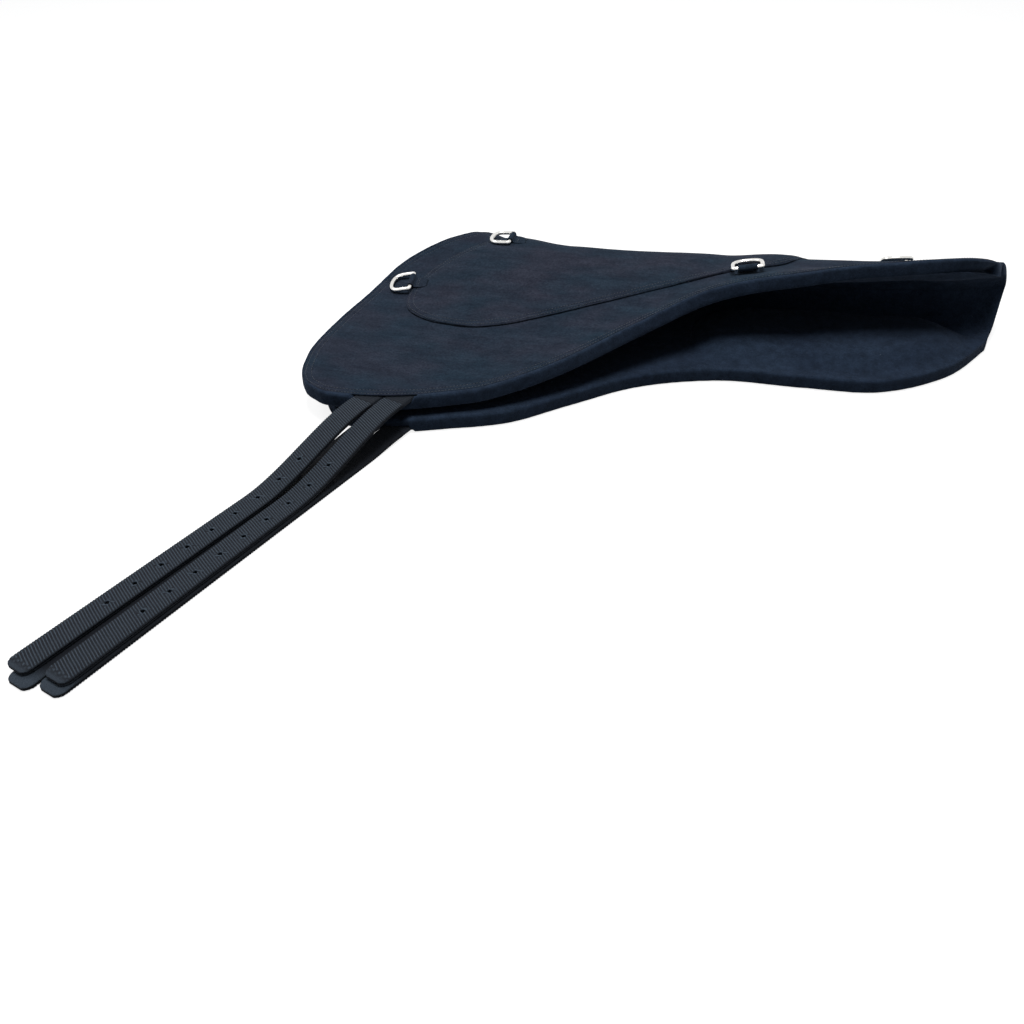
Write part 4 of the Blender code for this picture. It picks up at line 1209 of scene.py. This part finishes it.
def make_anchor(half, which):
    """The sewn-in end of a billet, level with its root."""
    side = SIDES[half]
    s = spread(-ROOT_CLEARANCE - ANCHOR_LENGTH, -0.3 * MM, RIB_PITCH / 4)
    near = EDGE_LINES[:4]
    t = np.concatenate([-HALF_WIDTH + near, np.arange(-9, 10, 3) * MM, (HALF_WIDTH - near)[::-1]])
    ss, tt = np.meshgrid(s, t, indexing="ij")
    low = billet_floor(half, 0.0)
    share = round_edge(HALF_WIDTH - np.abs(tt), WEB_ROUND, 2)
    ribs = np.cos(2 * np.pi * ss / RIB_PITCH)
    wave = 0.13 * MM * ribs - EDGE_DROP * (np.abs(tt) / HALF_WIDTH) ** 4
    middle = low + BILLET_THICKNESS / 2
    sheets = []
    for sign in (1, -1):
        z = middle + sign * BILLET_THICKNESS / 2 * share
        z = z + (half * wave * share if sign == half else 0)
        sheets.append(strap_points(half, which, ss, tt, z).reshape(-1, 3))
    count = ss.size
    index = np.arange(count).reshape(ss.shape)
    points = np.concatenate(sheets)
    uv = flat_uv(ss, tt)
    # Painted highlight on the rib crests of the first sheet
    painted_light = np.clip(ribs, 0, 1).ravel() * 0.11
    made = add_mesh(f"billet_root_{which}_{side}", points, shell_faces(index, index + count),
                    "web", f"{side}_half", np.concatenate([uv, uv]),
                    np.concatenate([painted_light, painted_light * 0]))
    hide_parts(f"billet_anchor_{which}_{side}")


# Spine strip

# Half the strip's width
STRIP_REACH = 9 * MM
STRIP_GAP = 0.45 * MM
STRIP_THICKNESS = 1.1 * MM


def make_spine_strip():
    """Suede strip over the seam between the halves."""
    u = spread(0.012, 0.988, 3 * MM / SPINE_LENGTH)
    width = np.linspace(-1, 1, 15)
    seam = len(width) // 2
    length = {half: section_length(half, u) for half in (LEFT, RIGHT)}
    grid = np.zeros((len(u), len(width), 3))
    for j, w in enumerate(width):
        half = LEFT if w >= 0 else RIGHT
        v = abs(w) * STRIP_REACH / length[half]
        grid[:, j] = layer(half, u, v, np.full(len(u), -STRIP_GAP))
    grid[:, seam, 2] = (grid[:, seam - 1, 2] + grid[:, seam + 1, 2]) / 2
    up = unit(np.cross(np.gradient(grid, axis=0), np.gradient(grid, axis=1)))
    up *= np.sign(up[..., 1:2])
    distance = grid_distance(grid)
    ridge = 0.35 * MM * np.exp(-(width * STRIP_REACH / (1.6 * MM)) ** 2)[None, :, None]
    outer = grid + up * (STRIP_THICKNESS + ridge)
    uv = np.stack(np.broadcast_arrays(u[:, None] * SPINE_LENGTH, width[None, :] * STRIP_REACH), -1)
    made = closed_sheet("spine_strip", outer, grid, distance, 0.6 * MM, 2, "suede",
                        "right_half", "suede", uv.reshape(-1, 2))
    made.parent = None
    del made["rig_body"]
    made.matrix_world = Matrix.Identity(4)
    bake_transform(made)


# Stage

FLOOR_REACH = 9.0
FLOOR_HEIGHT = -0.3 * MM
CAMERA_PLACE = (0.31799, -1.19814, 0.57409)
CAMERA_PITCH, CAMERA_YAW = 52.2, 13.6
CAMERA_LENS, CAMERA_SENSOR = 36.914, 36.0


def make_floor():
    """Pale floor that looks white to the camera and still takes the pad's shadow."""
    m = Nodes("pale_floor")
    tone = m.ramp(m.noise(m.spot(), 3.0, 2.0), ((0.3, (0.34, 0.34, 0.34)), (0.7, (0.36, 0.36, 0.36))))
    m.set(Base_Color=tone, Roughness=0.9, Specular_IOR_Level=0.1)
    lift = m.add("ShaderNodeEmission", {"Strength": m.seen_directly()}, Color=(0.86, 0.86, 0.86, 1))
    both = m.add("ShaderNodeAddShader", {0: m.shader.outputs[0], 1: lift.outputs[0]})
    m.finish(both, "Material Output")
    mesh = bpy.data.meshes.new("floor")
    count = 12
    line = np.linspace(-FLOOR_REACH, FLOOR_REACH, count)
    points = [(x, y, FLOOR_HEIGHT) for x in line for y in line]
    faces = grid_quads(np.arange(count * count).reshape(count, count)).reshape(-1, 4)
    mesh.from_pydata(points, [], faces.tolist())
    mesh.materials.append(m.owner)
    floor = link("floor", mesh)


def make_world():
    """White to the camera, a faint cool light for everything else."""
    m = Nodes("studio", "worlds", "Background")
    bpy.context.scene.world = m.owner
    m.set(Color=(0.62, 0.66, 0.72), Strength=0.12)
    white = m.add("ShaderNodeBackground", Color=(1, 1, 1, 1))
    links = {0: m.seen_directly(), 1: m.shader.outputs[0], 2: white.outputs[0]}
    m.finish(m.add("ShaderNodeMixShader", links), "World Output")


def add_lamp(name, place, aim, size, power):
    lamp = bpy.data.lights.new(name, "AREA")
    lamp.shape = "RECTANGLE"
    lamp.size, lamp.size_y = size
    lamp.energy = power
    made = link(name, lamp)
    made.location = place
    made.rotation_euler = (Vector(aim) - Vector(place)).to_track_quat("-Z", "Y").to_euler()


def make_camera():
    data = bpy.data.cameras.new("camera")
    data.sensor_width = CAMERA_SENSOR
    data.lens = CAMERA_LENS
    data.clip_start, data.clip_end = 0.01, 60.0
    made = link("camera", data)
    made.location = Vector(CAMERA_PLACE) + Vector(SHIFT)
    made.rotation_euler = (math.radians(CAMERA_PITCH), 0, math.radians(CAMERA_YAW))
    bpy.context.scene.camera = made


def main():
    bpy.context.scene.view_settings.view_transform = "Standard"
    make_floor()
    make_world()
    make_camera()
    add_lamp("overhead", (-0.05, 0.0, 2.2), (0, 0, 0), (0.9, 0.7), 38)
    add_lamp("left", (-1.3, 0.3, 1.3), (0, 0, 0.05), (0.9, 0.7), 8)
    for half in (RIGHT, LEFT):
        make_felt(half)
        make_foam(half)
        stitch_rows(f"rim_stitches_{SIDES[half]}", *make_cover(half), half, "suede")
        stitch_rows(f"seat_stitches_{SIDES[half]}", *make_panel(half), half, "seat_suede")
        for name in RINGS:
            make_ring(half, name)
            make_tab(half, name)
        make_billets(half)
    make_spine_strip()


main()
